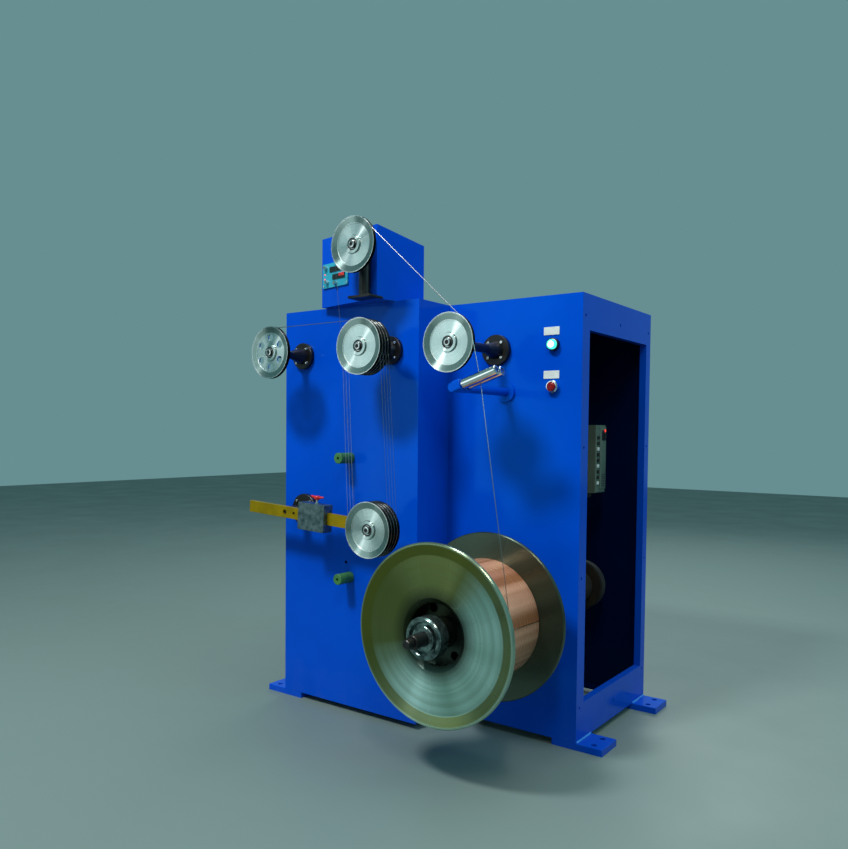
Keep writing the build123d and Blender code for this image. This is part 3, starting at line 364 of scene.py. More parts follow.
def windingMaterial(name, look):
    # bare copper wire laid side by side: a wave along the reel's axle for the turns, darker between them as painted
    # shade; uneven layers; and painted reflection bands along the axle
    material, tree, shader = startMaterial(name, look["constants"])
    here = addNode(tree, "ShaderNodeTexCoord").outputs["Object"]
    turns = addNode(tree, "ShaderNodeTexWave", {
        "Vector": here, "Scale": look["turns"], "Distortion": 1.2, "Detail": 1.0},
        wave_type="BANDS", bands_direction="Y", wave_profile="SIN").outputs["Fac"]
    stretch = addNode(tree, "ShaderNodeMapping", {"Vector": here, "Scale": (0.5, 9.0, 0.5)}).outputs[0]
    layer = noiseOn(tree, stretch, 26.0, 4.0, 0.6)
    streak = latheCuts(tree, here, layout["reel"], {"Streaks": look["around"]})["Streak"]
    # painted shade: darker in the creases between the turns
    tone = mixColour(tree, ramp(tree, turns, 0.0, 0.5), look["dark"], look["colour"])
    tone = mixColour(tree, ramp(tree, layer, 0.45, 0.75, 0.0, 0.5), tone, look["tarnish"])
    # painted reflection bands, from noise around the axle
    tone = mixColour(tree, ramp(tree, streak, 0.4, 0.62), tone, look["dustAndSheen"])
    setInputs(tree, shader, {"Base Color": tone, "Roughness": ramp(tree, layer, 0.3, 0.7, *look["gloss"]),
                             "Normal": bumpOn(tree, turns, look["bump"], 0.0003), "Tangent": aroundAxle(tree)})
    return material


copperWinding = windingMaterial("copperWindingFinish", windingLook)


def softTones(tree, scale, detail, gloss, tones):
    # tones that noise dims a little, each by its own share, and uneven gloss
    noise = noiseOn(tree, addNode(tree, "ShaderNodeTexCoord").outputs["Object"], scale, detail)
    made = {key: mixColour(tree, noise, tone, tuple(share * v for v in tone)) for key, (tone, share) in tones.items()}
    return {**made, "Roughness": ramp(tree, noise, 0.3, 0.7, *gloss)}


def glowMaterial(name, colour, glow, strength, speckle):
    # lit lens or segment, never quite even
    material, tree, shader = startMaterial(name, {"Emission Strength": strength, "Coat Weight": 0.6})
    tones = {"Base Color": (colour, 0.7), "Emission Color": (glow, 0.85)}
    setInputs(tree, shader, softTones(tree, speckle, 2.0, (0.12, 0.2), tones))
    return material


litGreen = glowMaterial("litGreenFinish", (0.02, 0.6, 0.4), (0.05, 1.0, 0.62), 1.6, 90.0)
litWhite = glowMaterial("litCoreFinish", (0.8, 1.0, 0.9), (0.75, 1.0, 0.88), 2.2, 90.0)
litRed = glowMaterial("litRedFinish", (0.6, 0.02, 0.02), (1.0, 0.05, 0.03), 1.4, 200.0)
print("materials made")

finishes = (
    (paint["blue"], ("foot_plates", "base_frame", "tower_front_panel", "left_side_panel", "tower_side_panel",
                     "rear_panel", "cabinet_front_panel", "open_side_frame", "top_panel", "control_box",
                     "roller_bracket")),
    (paint["black"], ("box_plate", "top_post", "left_axle", "middle_axle", "right_axle", "pivot_flange", "spindle")),
    *((wheelMaterial[key], wheel[1:2]) for key, wheel in wheels.items()), (reelMaterial, ("reel",)),
    (copperWinding, ("copper_winding",)),
    (metal["copperWire"], ("wire_upper", "wire_dancer_bends", "wire_falls", "wire_top_fall")),
    (paint["tealPlate"], ("control_plate",)), (paint["displayWindow"], ("displays",)),
    (metal["brightSteel"], ("control_knobs",)), (paint["yellow"], ("dancer_arm",)),
    (metal["steel"], ("counterweight",)), (paint["redPlastic"], ("clamp_knob",)),
    (paint["greenRubber"], ("stop_pins",)), (litGreen, ("green_button",)),
    (metal["chrome"], ("guide_roller_front", "guide_roller_rear", "button_bezels")),
    (paint["darkRed"], ("red_button",)), (paint["whitePlate"], ("label_plates",)),
    (metal["greasySteel"], ("lock_nut",)), (metal["galvanised"], ("bearing_plate", "motor_rails", "inverter_plate")),
    (metal["castIronShaded"], ("bearing_housing", "driven_pulley", "motor_pulley")),
    (paint["greyPlasticShaded"], ("drive_motor", "inverter")), (paint["rubber"], ("drive_belt",)))
nodeFinish = {name: finish for finish, names in finishes for name in names}
for name, piece in nodes.items():
    piece.data.materials.clear()
    piece.data.materials.append(nodeFinish[name])
print("CAD pieces finished:", len(nodes))


# makers for the added pieces; every mesh ends in place, with its object at the origin
toFront = (0, -1, 0)


def finishPiece(name, bm, materials, body, sharp=35.0, stands=()):
    bmesh.ops.remove_doubles(bm, verts=bm.verts, dist=1e-6)
    bmesh.ops.recalc_face_normals(bm, faces=bm.faces)
    mesh = bpy.data.meshes.new(name)
    bm.to_mesh(mesh)
    bm.free()
    for material in materials if isinstance(materials, (list, tuple)) else [materials]:
        mesh.materials.append(material)
    mesh.shade_smooth()
    mesh.set_sharp_from_angle(angle=math.radians(sharp))
    piece = bpy.data.objects.new(name, mesh)
    scene.collection.objects.link(piece)
    if stands:
        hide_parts(*stands)
    if body:
        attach(piece, body)
    return piece


def toAxis(direction):
    # turns a shape made along +Z so that it points along direction
    return Vector(direction).to_track_quat("Z", "Y").to_matrix().to_4x4()


def placeAt(point):
    return Matrix.Translation(Vector(point) * mm)


def circlePoints(radius, count, x=0.0, y=0.0, start=0.0):
    turns = [math.radians(start) + math.tau * k / count for k in range(count)]
    return [(x + radius * math.cos(a), y + radius * math.sin(a)) for a in turns]


def rimPoint(centre, angle, radius, y):
    # a point at y on a circle about an axle that runs front to back
    a = math.radians(angle)
    return (centre[0] + radius * math.cos(a), y, centre[2] + radius * math.sin(a))


def newFaces(bm, old):
    return [f for f in bm.faces if f not in old]


def vertsOf(faces):
    return list({v for f in faces for v in f.verts})


def edgesOf(verts):
    return list({e for v in verts for e in v.link_edges})


def placeFaces(bm, old, place, slot):
    # moves what was added since old was listed, and gives it its material
    faces = newFaces(bm, old)
    bmesh.ops.transform(bm, matrix=place, verts=vertsOf(faces))
    for f in faces:
        f.material_index = slot


def roundEdges(bm, edges, radius, segments=2):
    bmesh.ops.bevel(bm, geom=edges, offset=radius * mm, offset_type="OFFSET", segments=segments, profile=0.5,
                    affect="EDGES", material=-1)


def addTurned(bm, profile, at, steps=32, slot=0, direction=toFront):
    # spins (radius, height) points, in mm, about the axis through at
    old = set(bm.faces)
    ring = [bm.verts.new((r * mm, 0, h * mm)) for r, h in profile]
    edges = [bm.edges.new(pair) for pair in zip(ring, ring[1:])]
    bmesh.ops.spin(bm, geom=ring + edges, cent=(0, 0, 0), axis=(0, 0, 1), angle=math.tau, steps=steps, use_merge=True)
    bmesh.ops.remove_doubles(bm, verts=vertsOf(newFaces(bm, old)), dist=1e-6)
    placeFaces(bm, old, placeAt(at) @ toAxis(direction), slot)


def addBlock(bm, low, high, bevel=0.0, turn=None, slot=0, segments=2):
    old = set(bm.faces)
    made = bmesh.ops.create_cube(bm, size=1.0)["verts"]
    low, high = Vector(low), Vector(high)
    size = Matrix.Diagonal((*(high - low) * mm, 1.0))
    bmesh.ops.transform(bm, matrix=placeAt((low + high) / 2) @ size, verts=made)
    if bevel:
        roundEdges(bm, edgesOf(made), bevel, segments)
    placeFaces(bm, old, turn or Matrix(), slot)


def addBolt(bm, at, headR, headH, direction=toFront, washer=True, sides=6):
    # socket or hexagon head with a small chamfer, on a washer; at is on the surface
    base = 1.2 if washer else 0.0
    if washer:
        plate = [(0, 0), (headR * 1.5, 0), (headR * 1.5, 0.9), (headR * 1.35, base), (0, base)]
        addTurned(bm, plate, at, 20, direction=direction)
    head = [(0, base), (headR, base), (headR, base + headH * 0.82), (headR * 0.86, base + headH),
            (headR * 0.5, base + headH), (headR * 0.5, base + headH * 0.55), (0, base + headH * 0.5)]
    addTurned(bm, head, at, sides, direction=direction)


def addPierced(bm, loops, front, back, place):
    # flat plate in local x and y between two levels: the first loop is its outline, the others are holes
    old = set(bm.faces)
    levels = []
    for level in (front, back):
        rings = [[bm.verts.new((x * mm, y * mm, level * mm)) for x, y in loop] for loop in loops]
        edges = [bm.edges.new((ring[k - 1], ring[k])) for ring in rings for k in range(len(ring))]
        bmesh.ops.triangle_fill(bm, use_beauty=True, edges=edges)
        levels.append(rings)
    for high, low in zip(*levels):
        for k in range(len(high)):
            bm.faces.new((high[k - 1], high[k], low[k], low[k - 1]))
    placeFaces(bm, old, place, 0)


def turnedPiece(name, profile, at, material, body, stands=(), steps=64, sharp=12.0):
    # ring or solid of revolution as a piece of its own
    bm = bmesh.new()
    addTurned(bm, profile, at, steps)
    return finishPiece(name, bm, material, body, sharp, stands)


# turned wheels in place of the plain ones: a dished front with a sunk hub, and a row of grooves in the rim
wheelForm = {"radius": 67.0, "width": 10.5, "groove": 6.0, "bore": 7.55, "hub": 21.2, "hollow": 14.4, "hubIn": 2.0,
             "web": 49.0, "webIn": 4.8, "backIn": 2.2, "rimT": 15.0, "holeCircle": 38.0, "holeR": 8.9}


def makeWheel(key, centre, node, count, holes, look):
    r, w, hub, web, webIn = (look[k] for k in ("radius", "width", "hub", "web", "webIn"))
    full, floor, rimIn, behind = w * count, r - look["groove"], r - look["rimT"], look["backIn"] - w * count
    rim = []
    for k in range(count):
        low, mid = k * w, (k + 0.5) * w
        rim += [(r, -low - 0.8), (floor, 1.2 - mid), (floor, -mid - 1.2), (r, 0.8 - low - w)]
        if k + 1 < count:
            rim += [(r, 0.3 - low - w), (r - 1.0, -low - w), (r, -low - w - 0.3)]
    front = [(look["bore"], -look["hubIn"]), (look["hollow"], -look["hubIn"]), (look["hollow"] + 0.6, -0.6),
             (hub, -0.6), (hub + 1.2, -webIn)]
    edge = [(web, -webIn), (web + 0.6, 0.9 - webIn), (web + 1.6, 0.9 - webIn), (r - 1.6, -0.5), (r - 1.0, 0), (r, 0),
            *rim, (r - 0.8, -full), (r - 12.0, -full), (rimIn, behind)]
    back = [(hub + 1.2, behind), (hub, -full), (look["bore"], -full)]
    bm = bmesh.new()
    if holes:
        addTurned(bm, front + back + front[:1], centre, 72)
        addTurned(bm, edge + edge[:1], centre, 96)
        loops = [circlePoints(rimIn, 96), circlePoints(hub + 0.7, 72)]
        loops += [circlePoints(look["holeR"], 48, x, y) for x, y in circlePoints(look["holeCircle"], holes, start=90)]
        addPierced(bm, loops, -webIn, behind, placeAt(centre) @ toAxis(toFront))
    else:
        addTurned(bm, front + edge + back + front[:1], centre, 96)
    finishPiece(key + "Wheel", bm, wheelMaterial[key], node + "_body", 10.0, (node,))


for key, (centre, node, count, holes) in wheels.items():
    makeWheel(key, centre, node, count, holes, wheelForm)

# black pins through the wheels: flange, cone, stem, journal and cap
pinForm = {"flangeT": 12.0, "coneR": 22.0, "coneL": 40.0, "stemR": 11.0, "journalR": 7.5, "capR": 9.6, "capT": 4.0,
           "walls": {"left": (117.0, 35.0), "middle": (117.0, 35.0), "right": (-13.0, 38.0)}, "postR": 14.0,
           "postY": -184.4, "postLow": 1066.0, "postHigh": 1199.0, "topRoot": 180.0, "hubR": 43.5, "hubStemR": 14.5,
           "hubEnd": 186.0, "hubPinR": 6.3, "hubPinEnd": 195.0}


def pinEnd(look, y, count):
    # from the wheel's back to the cap's face
    face, stem, journal, cap, high = -y - 1.0, look["stemR"], look["journalR"], look["capR"], look["capT"]
    back = face - wheelForm["width"] * count
    return [(stem, back), (journal, back), (journal, face), (cap, face), (cap, face + high - 1.0),
            (cap - 1.0, face + high), (0, face + high)]


def flangeEnd(radius, wall, front):
    return [(0, wall), (radius, wall), (radius, front - 1.5), (radius - 1.5, front)]


def makePins(look):
    stem, thick, black = look["stemR"], look["flangeT"], paint["black"]
    for key, (wall, flange) in look["walls"].items():
        (x, y, z), front = layout[key], wall + thick
        root = flangeEnd(flange, wall, front) + [(look["coneR"], front), (stem, front + look["coneL"])]
        turnedPiece(key + "Pin", root + pinEnd(look, y, wheels[key][2]), (x, 0, z), black, "stand",
                    (key + "_axle",))
    x, y, z = dancerHub
    start = -layout["pivot"][1] - 1.0
    turnedPiece("dancerPin", [(0, start), (stem, start)] + pinEnd(look, y, 4), (x, 0, z), black, "dancer_body")
    x, y, z = layout["top"]
    post, low, high, start = look["postR"], look["postLow"], look["postHigh"], look["topRoot"]
    column = [(0, low), (post, low), (post, high - 1.2), (post - 1.2, high), (0, high)]
    bm = bmesh.new()
    addTurned(bm, column, (x, look["postY"], 0), 48, direction=(0, 0, 1))
    addTurned(bm, [(0, start), (stem, start)] + pinEnd(look, y, 1), (x, 0, z), 48)
    finishPiece("topPost", bm, black, "stand", 12.0, ("top_post",))
    x, _, z = layout["pivot"]
    wall = look["walls"]["left"][0]
    neck, end, pin, tip = (look[k] for k in ("hubStemR", "hubEnd", "hubPinR", "hubPinEnd"))
    hub = flangeEnd(look["hubR"], wall, wall + thick)
    hub += [(neck, wall + thick), (neck, end), (pin, end), (pin, tip), (0, tip)]
    turnedPiece("pivotHub", hub, (x, 0, z), black, "stand", ("pivot_flange",))


makePins(pinForm)

# dancer arm: flat bar with its two holes and the lug behind it, and rounded long edges
armForm = {"left": 135.0, "right": 345.0, "high": 30.5, "thick": 12.0, "holes": ((0.0, 6.5), (33.0, 4.5)),
           "lug": 222.0, "lugHalf": 12.0, "lugOut": 24.0, "round": 0.8}


def makeArm(look):
    place = placeAt(layout["pivot"]) @ Matrix.Rotation(armTurn, 4, "Y") @ toAxis(toFront)
    half = look["high"] / 2
    outline = [(-look["left"], -half), (look["right"], -half), (look["right"], half), (-look["left"], half)]
    bm = bmesh.new()
    addPierced(bm, [outline] + [circlePoints(r, 32, u) for u, r in look["holes"]], 0.0, -look["thick"], place)
    bmesh.ops.recalc_face_normals(bm, faces=bm.faces)
    longEdges = [e for e in bm.edges if e.calc_length() > 0.2 and e.calc_face_angle() > 1.0]
    roundEdges(bm, longEdges, look["round"])
    lug, size, back = look["lug"], look["lugHalf"], -look["thick"]
    addBlock(bm, (lug - size, -size, back - look["lugOut"]), (lug + size, size, back + 0.4), look["round"], place)
    finishPiece("armBar", bm, paint["yellow"], "dancer_body", stands=("dancer_arm",))


makeArm(armForm)

# reel: two dished flanges with thick rims on a barrel, and a pierced plate deep in each mouth
reelForm = {"rim": 192.0, "front": 357.0, "back": 130.0, "thick": 10.0, "edge": 2.0, "face": 187.0, "dish": 165.0,
            "dishIn": 6.0, "barrel": 80.0, "wall": 5.0, "mouth": 66.0, "mouthIn": 15.0, "collar": 22.0, "hub": 34.0,
            "bore": 20.05, "plate": 46.0, "plateT": 6.0, "holes": 6, "holeR": 10.0, "copper": 133.0}
spindleProfile = [(0, -380.0), (20.0, -380.0), (20.0, 116.0), (55.0, 116.0), (55.0, 129.9), (20.0, 129.9),
                  (20.0, 365.0), (14.5, 365.0), (14.5, 424.0), (13.5, 425.0), (9.5, 425.0), (9.5, 442.0),
                  (7.5, 444.0), (0, 444.0)]
ringNutProfile = [(20.05, 357.0), (44.0, 357.0), (44.0, 385.0), (42.0, 387.0), (34.0, 387.0), (34.0, 377.0),
                  (27.0, 377.0), (27.0, 387.0), (14.55, 387.0), (14.55, 365.05), (20.05, 365.05), (20.05, 357.0)]


def makeReel(look):
    x, _, z = layout["reel"]
    centre = (x, 0, z)
    rim, edge, thick, barrel, collar = (look[k] for k in ("rim", "edge", "thick", "barrel", "collar"))
    mouth, bore, core, deep, inner = (*(look[k] for k in ("mouth", "bore", "hub", "plate")), barrel - look["wall"])
    ring = [(look["face"], 0), (rim - edge, 0), (rim, edge), (rim, thick - edge), (rim - edge, thick),
            (barrel, thick), (barrel, collar), (mouth, collar), (mouth, look["mouthIn"]),
            (barrel - 3, look["dishIn"]), (look["dish"], look["dishIn"]), (look["face"], 0)]
    hub = [(bore, 0), (core, 0), (core, deep + 0.5), (bore, deep + 0.5), (bore, 0)]
    loops = [circlePoints(inner + 0.4, 96), circlePoints(bore, 64)]
    loops += [circlePoints(look["holeR"], 48, u, v) for u, v in circlePoints((core + inner) / 2, look["holes"])]
    bm = bmesh.new()
    for outer, inward in ((look["front"], -1), (look["back"], 1)):
        for profile, steps in ((ring, 144), (hub, 64)):
            addTurned(bm, [(r, outer + inward * d) for r, d in profile], centre, steps)
        addPierced(bm, loops, outer + inward * deep, outer + inward * (deep + look["plateT"]),
                   placeAt(centre) @ toAxis(toFront))
    front, back, skin = look["front"] - collar + 0.5, look["back"] + collar - 0.5, barrel - 0.1
    addTurned(bm, [(inner, front), (skin, front), (skin, back), (inner, back), (inner, front)], centre, 96)
    finishPiece("spunReel", bm, reelMaterial, "reel_body", 10.0, ("reel",))
    low, high, r, start = look["back"] + thick + 0.02, look["front"] - thick - 0.02, look["copper"], barrel + 0.05
    layers = [(start, low), (r - 1.0, low), (r, low + 1.5), (r, high - 1.5), (r - 1.0, high), (start, high),
              (start, low)]
    for name, profile, finish, slot, stands, steps in (
            ("copperLayers", layers, copperWinding, "copper", "copper_winding", 144),
            ("reelSpindle", spindleProfile, paint["black"], "black_paint", "spindle", 64),
            ("ringNut", ringNutProfile, metal["greasySteel"], "steel", "lock_nut", 64)):
        turnedPiece(name, profile, centre, finish, "reel_body", (stands,), steps)


makeReel(reelForm)

# footing of the control box, and the black plate that carries the post
boxFooting = {"box": (225.0, 155.0), "thick": 6.0, "plate": ((-107.0, -208.0), (-38.0, -117.0))}


def makeBoxFooting(look):
    (x0, y0), (x1, y1) = look["plate"]
    base, thick = layout["box"][2], look["thick"]
    bm = bmesh.new()
    addBlock(bm, (0, 0, 0), (*look["box"], thick), turn=boxFrame)
    addBlock(bm, (x0, y0, base + 0.02), (x1, y1, base + thick + 0.2), 0.8, slot=1)
    finishPiece("boxFooting", bm, [paint["blue"], paint["black"]], "stand", stands=("box_plate",))


makeBoxFooting(boxFooting)
print("turned pieces made")

# four bright bolts in each black flange
flangeBolts = {"headR": 3.6, "headH": 4.0, "turn": 45.0,
               "flanges": (("left", -129.0, 26.0), ("middle", -129.0, 26.0), ("right", 1.0, 26.0),
                           ("pivot", -129.0, 34.0))}


def makeFlangeBolts(look):
    bm = bmesh.new()
    for key, face, circle in look["flanges"]:
        for k in range(4):
            addBolt(bm, rimPoint(layout[key], look["turn"] + 90 * k, circle, face), look["headR"], look["headH"],
                    washer=False, sides=12)
    finishPiece("flangeBolts", bm, metal["brightSteel"], "stand")


makeFlangeBolts(flangeBolts)

# black seal sunk in each wheel hub, and the bright bolt head in the middle of the cap, its socket lined in black as
# painted shade
hubTrim = {"outer": 14.3, "inner": 11.2, "sunk": 1.55, "sealT": 0.4, "cap": 3.0, "head": 8.9, "socket": 4.6}


def trimHub(name, centre, body, holder, look):
    inner, outer, low, bed = look["inner"], look["outer"], -look["sunk"], -look["sunk"] - look["sealT"]
    seal = [(inner, bed), (inner, low), (outer - 0.6, low), (outer, low - 0.3), (outer, bed), (inner, bed)]
    turnedPiece(name + "HubSeal", seal, centre, paint["blackPlastic"], body, steps=40, sharp=35.0)
    face, head, socket = look["cap"], look["head"], look["socket"]
    ring = [(head, face - 0.9), (head, face + 0.1), (head - 0.9, face + 0.55), (socket + 0.7, face + 0.55),
            (socket + 0.5, face + 0.1), (head, face - 0.9)]
    # painted shade: the hex socket lined in black
    well = [(0, face - 2.6), (socket, face - 2.6), (socket + 0.5, face + 0.1), (socket + 0.9, face + 0.1),
            (socket + 0.9, face - 3.0), (0, face - 3.0)]
    bm = bmesh.new()
    addTurned(bm, ring, centre, 40)
    addTurned(bm, well, centre, 6, slot=1)
    finishPiece(name + "BoltFace", bm, [metal["brightSteel"], paint["blackPlastic"]], holder)


for key, (centre, node, _, _) in wheels.items():
    trimHub(key, centre, node + "_body", "dancer_body" if key == "dancer" else "stand", hubTrim)

# taut falls of wire: straight between the middle and the dancer wheels, with the arm at rest
falls = {"radius": 0.4, "sides": 8, "path": 62.1, "width": 10.5, "stack": 4}


def addFall(bm, top, foot, look):
    top, foot, r = Vector(top), Vector(foot), look["radius"] * mm
    way = foot - top
    made = bmesh.ops.create_cone(bm, cap_ends=True, segments=look["sides"], radius1=r, radius2=r,
                                 depth=way.length * mm)["verts"]
    bmesh.ops.transform(bm, matrix=placeAt((top + foot) / 2) @ toAxis(way), verts=made)


def tangentAngle(upper, lower):
    # where a taut wire between two equal wheels touches them
    return math.degrees(math.atan2(upper[2] - lower[2], upper[0] - lower[0])) - 90


def makeFalls(look):
    mid, low, top, r, w = layout["middle"], dancerHub, layout["top"], look["path"], look["width"]
    turn = tangentAngle(mid, low)
    bm = bmesh.new()
    for k in range(look["stack"]):
        y = mid[1] + w * (k + 0.5)
        addFall(bm, rimPoint(mid, turn, r, y), rimPoint(low, turn, r, y), look)
        if k:
            addFall(bm, rimPoint(mid, turn + 180, r, y), rimPoint(low, turn + 180, r, y - w), look)
    shortFalls = finishPiece("wireFalls", bm, metal["copperWire"], None, stands=("wire_falls",))
    turn = tangentAngle(low, top)
    start = rimPoint(top, turn, r, top[1] + w / 2)
    bm = bmesh.new()
    addFall(bm, start, rimPoint(low, turn, r, low[1] + w * (look["stack"] - 0.5)), look)
    longFall = finishPiece("wireTopFall", bm, metal["copperWire"], None, stands=("wire_top_fall",))
    for piece, high in ((shortFalls, mid[2] - 8.0), (longFall, start[2] - 4.0)):
        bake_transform(piece)


makeFalls(falls)
print("wheels and wire dressed")

# wing knob on its steel stem, in place of the plain one
wingKnob = {"along": 112.0, "lift": 35.0, "depth": 3.5, "stemR": 3.0, "stem": 11.5, "span": 21.0, "height": 9.0,
            "thick": 7.0, "round": 2.4,
            "boss": [(0, -2.5), (5.0, -2.5), (8.0, 2.0), (8.0, 6.5), (6.0, 8.5), (0, 9.0)]}


def makeWingKnob(look):
    up, stemR, stem, span = (math.sin(armTurn), 0, math.cos(armTurn)), look["stemR"], look["stem"], look["span"]
    base = armPoint(look["along"], look["depth"], look["lift"])
    top = Vector(base) + Vector(up) * stem
    bm = bmesh.new()
    addTurned(bm, [(0, 0), (stemR + 2, 0), (stemR + 2, 3), (stemR, 3.6), (stemR, stem), (0, stem)], base, 24,
              direction=up)
    addTurned(bm, look["boss"], top, 32, 1, up)
    for side in (-1, 1):
        old = set(bm.faces)
        made = bmesh.ops.create_cube(bm, size=1.0)["verts"]
        size = Matrix.Diagonal((span * mm, look["thick"] * mm, look["height"] * mm, 1))
        bmesh.ops.transform(bm, verts=made, matrix=size)
        for v in made:  # the wing lifts and thins towards its tip
            share = v.co.x * side / (span * mm) + 0.5
            v.co.z = v.co.z * (0.85 - 0.3 * share) + share * 2.6 * mm
            v.co.y *= 1.0 - 0.35 * share
        roundEdges(bm, edgesOf(made), look["round"], 4)
        placeFaces(bm, old, placeAt(top + Vector(up) * 3.5) @ Matrix.Rotation(armTurn, 4, "Y")
                   @ placeAt((side * (span / 2 + 1.0), 0, 0)), 1)
    finishPiece("wingKnob", bm, [metal["brightSteel"], paint["redPlastic"]], "counterweight_body",
                50.0, ("clamp_knob",))


makeWingKnob(wingKnob)

# bright rings at the rollers' ends, and black rings in their bores: painted shade in the bores
rollerEnd = {"place": (235.0, -199.15, 843.0), "tilt": 18.4, "length": 88.0, "offset": 12.5, "radius": 11.0,
             "bore": 6.2, "pinR": 4.2}


def makeRollerEnds(look):
    tilt, bore, rim = math.radians(look["tilt"]), look["bore"], look["radius"] - 0.2
    way = Vector((math.cos(tilt), 0, math.sin(tilt)))
    for name, side in (("front", -1), ("rear", 1)):
        tip = Vector(look["place"]) + Vector((0, side * look["offset"], 0)) + way * look["length"]
        bm = bmesh.new()
        addTurned(bm, [(bore, 0), (bore, 1.0), (rim - 1.0, 1.0), (rim, 0.2), (rim, 0)], tip, 36, 0, way)
        # painted shade: a black ring between pin and bore
        addTurned(bm, [(look["pinR"], 0.05), (bore, 0.3)], tip, 36, 1, way)
        finishPiece(name + "RollerEnd", bm, [metal["chrome"], paint["blackPlastic"]],
                    "guide_roller_" + name + "_body")


makeRollerEnds(rollerEnd)

# rolled rims and grub screws on the ring nut's face
ringNut = {"face": -387.0, "rims": ((34.3, 41.6, 1.3), (15.0, 26.4, 1.6)), "screwCircle": 21.0, "screwR": 2.6,
           "screwH": 1.4}


def makeRingNut(look):
    x, _, z = layout["reel"]
    bm = bmesh.new()
    for inner, outer, high in look["rims"]:
        addTurned(bm, [(inner, -0.2), (inner, high - 0.7), (inner + 0.8, high), (outer - 1.0, high),
                       (outer, high - 0.9), (outer, -0.2), (inner, -0.2)], (x, look["face"], z), 56)
    for k in range(3):
        addBolt(bm, rimPoint(layout["reel"], 130 + 120 * k, look["screwCircle"], look["face"] - look["screwH"]),
                look["screwR"], look["screwH"], washer=False, sides=12)
    finishPiece("ringNutRims", bm, metal["greasySteel"], "reel_body")


makeRingNut(ringNut)

# one raised turn that crosses the winding
looseTurn = {"radius": 133.6, "wire": 1.2, "start": -6.6, "sweep": 1.65, "from": -346.0, "to": -142.0, "steps": 40}


def makeLooseTurn(look):
    x, _, z = layout["reel"]
    bm = bmesh.new()
    ring = bmesh.ops.create_circle(bm, cap_ends=False, segments=8, radius=look["wire"] * mm)["verts"]
    bmesh.ops.transform(bm, matrix=placeAt((0, 0, look["radius"])) @ Matrix.Rotation(math.pi / 2, 4, "X"), verts=ring)
    shift = Vector((0, (look["to"] - look["from"]) * mm / look["steps"], 0))
    bmesh.ops.spin(bm, geom=ring + edgesOf(ring), cent=(0, 0, 0), axis=(0, 1, 0), dvec=shift,
                   angle=math.radians(look["sweep"]), steps=look["steps"])
    bmesh.ops.holes_fill(bm, edges=[e for e in bm.edges if e.is_boundary], sides=12)
    place = placeAt((x, look["from"], z)) @ Matrix.Rotation(math.radians(90 + look["start"]), 4, "Y")
    bmesh.ops.transform(bm, matrix=place, verts=bm.verts)
    finishPiece("looseTurn", bm, metal["copperTurn"], "reel_body")


makeLooseTurn(looseTurn)
print("reel dressed")

# control plate: corner screws, red figures, little lamps
controlFace = {"plateFace": 4.0, "displayFace": 6.0, "screwsAcross": (13.0, 109.0), "screwsUp": (53.0, 105.0),
               "figures": "1250", "start": (77.0, 73.2), "pitch": 6.6, "digitHeight": 6.6, "digitWidth": 3.4,
               "stroke": 0.8, "lamps": ((105.0, 99.5), (18.0, 83.0), (18.0, 71.0))}
# lines of each figure, as ends in widths and half heights
figureLines = {"0": ((0, 2, 1, 2), (1, 1, 1, 2), (1, 0, 1, 1), (0, 0, 1, 0), (0, 0, 0, 1), (0, 1, 0, 2)),
               "1": ((1, 1, 1, 2), (1, 0, 1, 1)),
               "2": ((0, 2, 1, 2), (1, 1, 1, 2), (0, 0, 1, 0), (0, 0, 0, 1), (0, 1, 1, 1)),
               "5": ((0, 2, 1, 2), (1, 0, 1, 1), (0, 0, 1, 0), (0, 1, 0, 2), (0, 1, 1, 1))}


def makeControlFace(look):
    out = boxFrame.to_3x3() @ Vector(toFront)

    def onPlate(u, w):
        return boxFrame @ (Vector((u, -look["plateFace"], w)) * mm) / mm

    bm = bmesh.new()
    for u in look["screwsAcross"]:
        for w in look["screwsUp"]:
            addBolt(bm, onPlate(u, w), 2.4, 1.6, out, washer=False, sides=16)
    finishPiece("plateScrews", bm, metal["brightSteel"], "stand")
    bm = bmesh.new()
    wide, half, s, face = look["digitWidth"], look["digitHeight"] / 2, look["stroke"] / 2, look["displayFace"]
    for k, figure in enumerate(look["figures"]):
        u, v = look["start"][0] + k * look["pitch"], look["start"][1]
        for x0, z0, x1, z1 in figureLines[figure]:
            addBlock(bm, (u + x0 * wide - s, -face - 0.3, v + z0 * half - s),
                     (u + x1 * wide + s, -face + 0.1, v + z1 * half + s), 0.15, boxFrame, segments=1)
    finishPiece("displayFigures", bm, litRed, "stand")
    bm = bmesh.new()
    for u, w in look["lamps"]:
        addTurned(bm, [(0, 1.8), (1.4, 1.5), (2.2, 0.6), (2.2, 0)], onPlate(u, w), 20, direction=out)
    finishPiece("panelLamps", bm, litRed, "stand")


makeControlFace(controlFace)

# core of the green lens, crown of the red button, and the black coat of the green bezel
buttonTrim = {"x": 339.5, "green": 944.0, "red": 846.0,
              "core": [(0, 4.5), (5.4, 4.3), (8.6, 3.9), (9.4, 3.5)],
              "crown": [(0, 1.9), (5.6, 1.75), (7.8, 1.3), (8.2, 1.0)],
              "coat": [(13.6, -13.0), (15.1, -13.0), (15.1, -2.0), (14.4, -1.1), (13.6, -1.1), (13.6, -13.0)]}


def makeButtonTrim(look):
    for name, key, at, finish, body, slot, steps in (
            ("greenLensCore", "core", "green", litWhite, "green_button_body", "green_lens", 32),
            ("redButtonCrown", "crown", "red", paint["darkRed"], "red_button_body", "red_plastic", 36),
            ("greenBezelCoat", "coat", "green", paint["blackPlastic"], "stand", "chrome", 48)):
        turnedPiece(name, look[key], (look["x"], 0, look[at]), finish, body, steps=steps, sharp=35.0)


makeButtonTrim(buttonTrim)

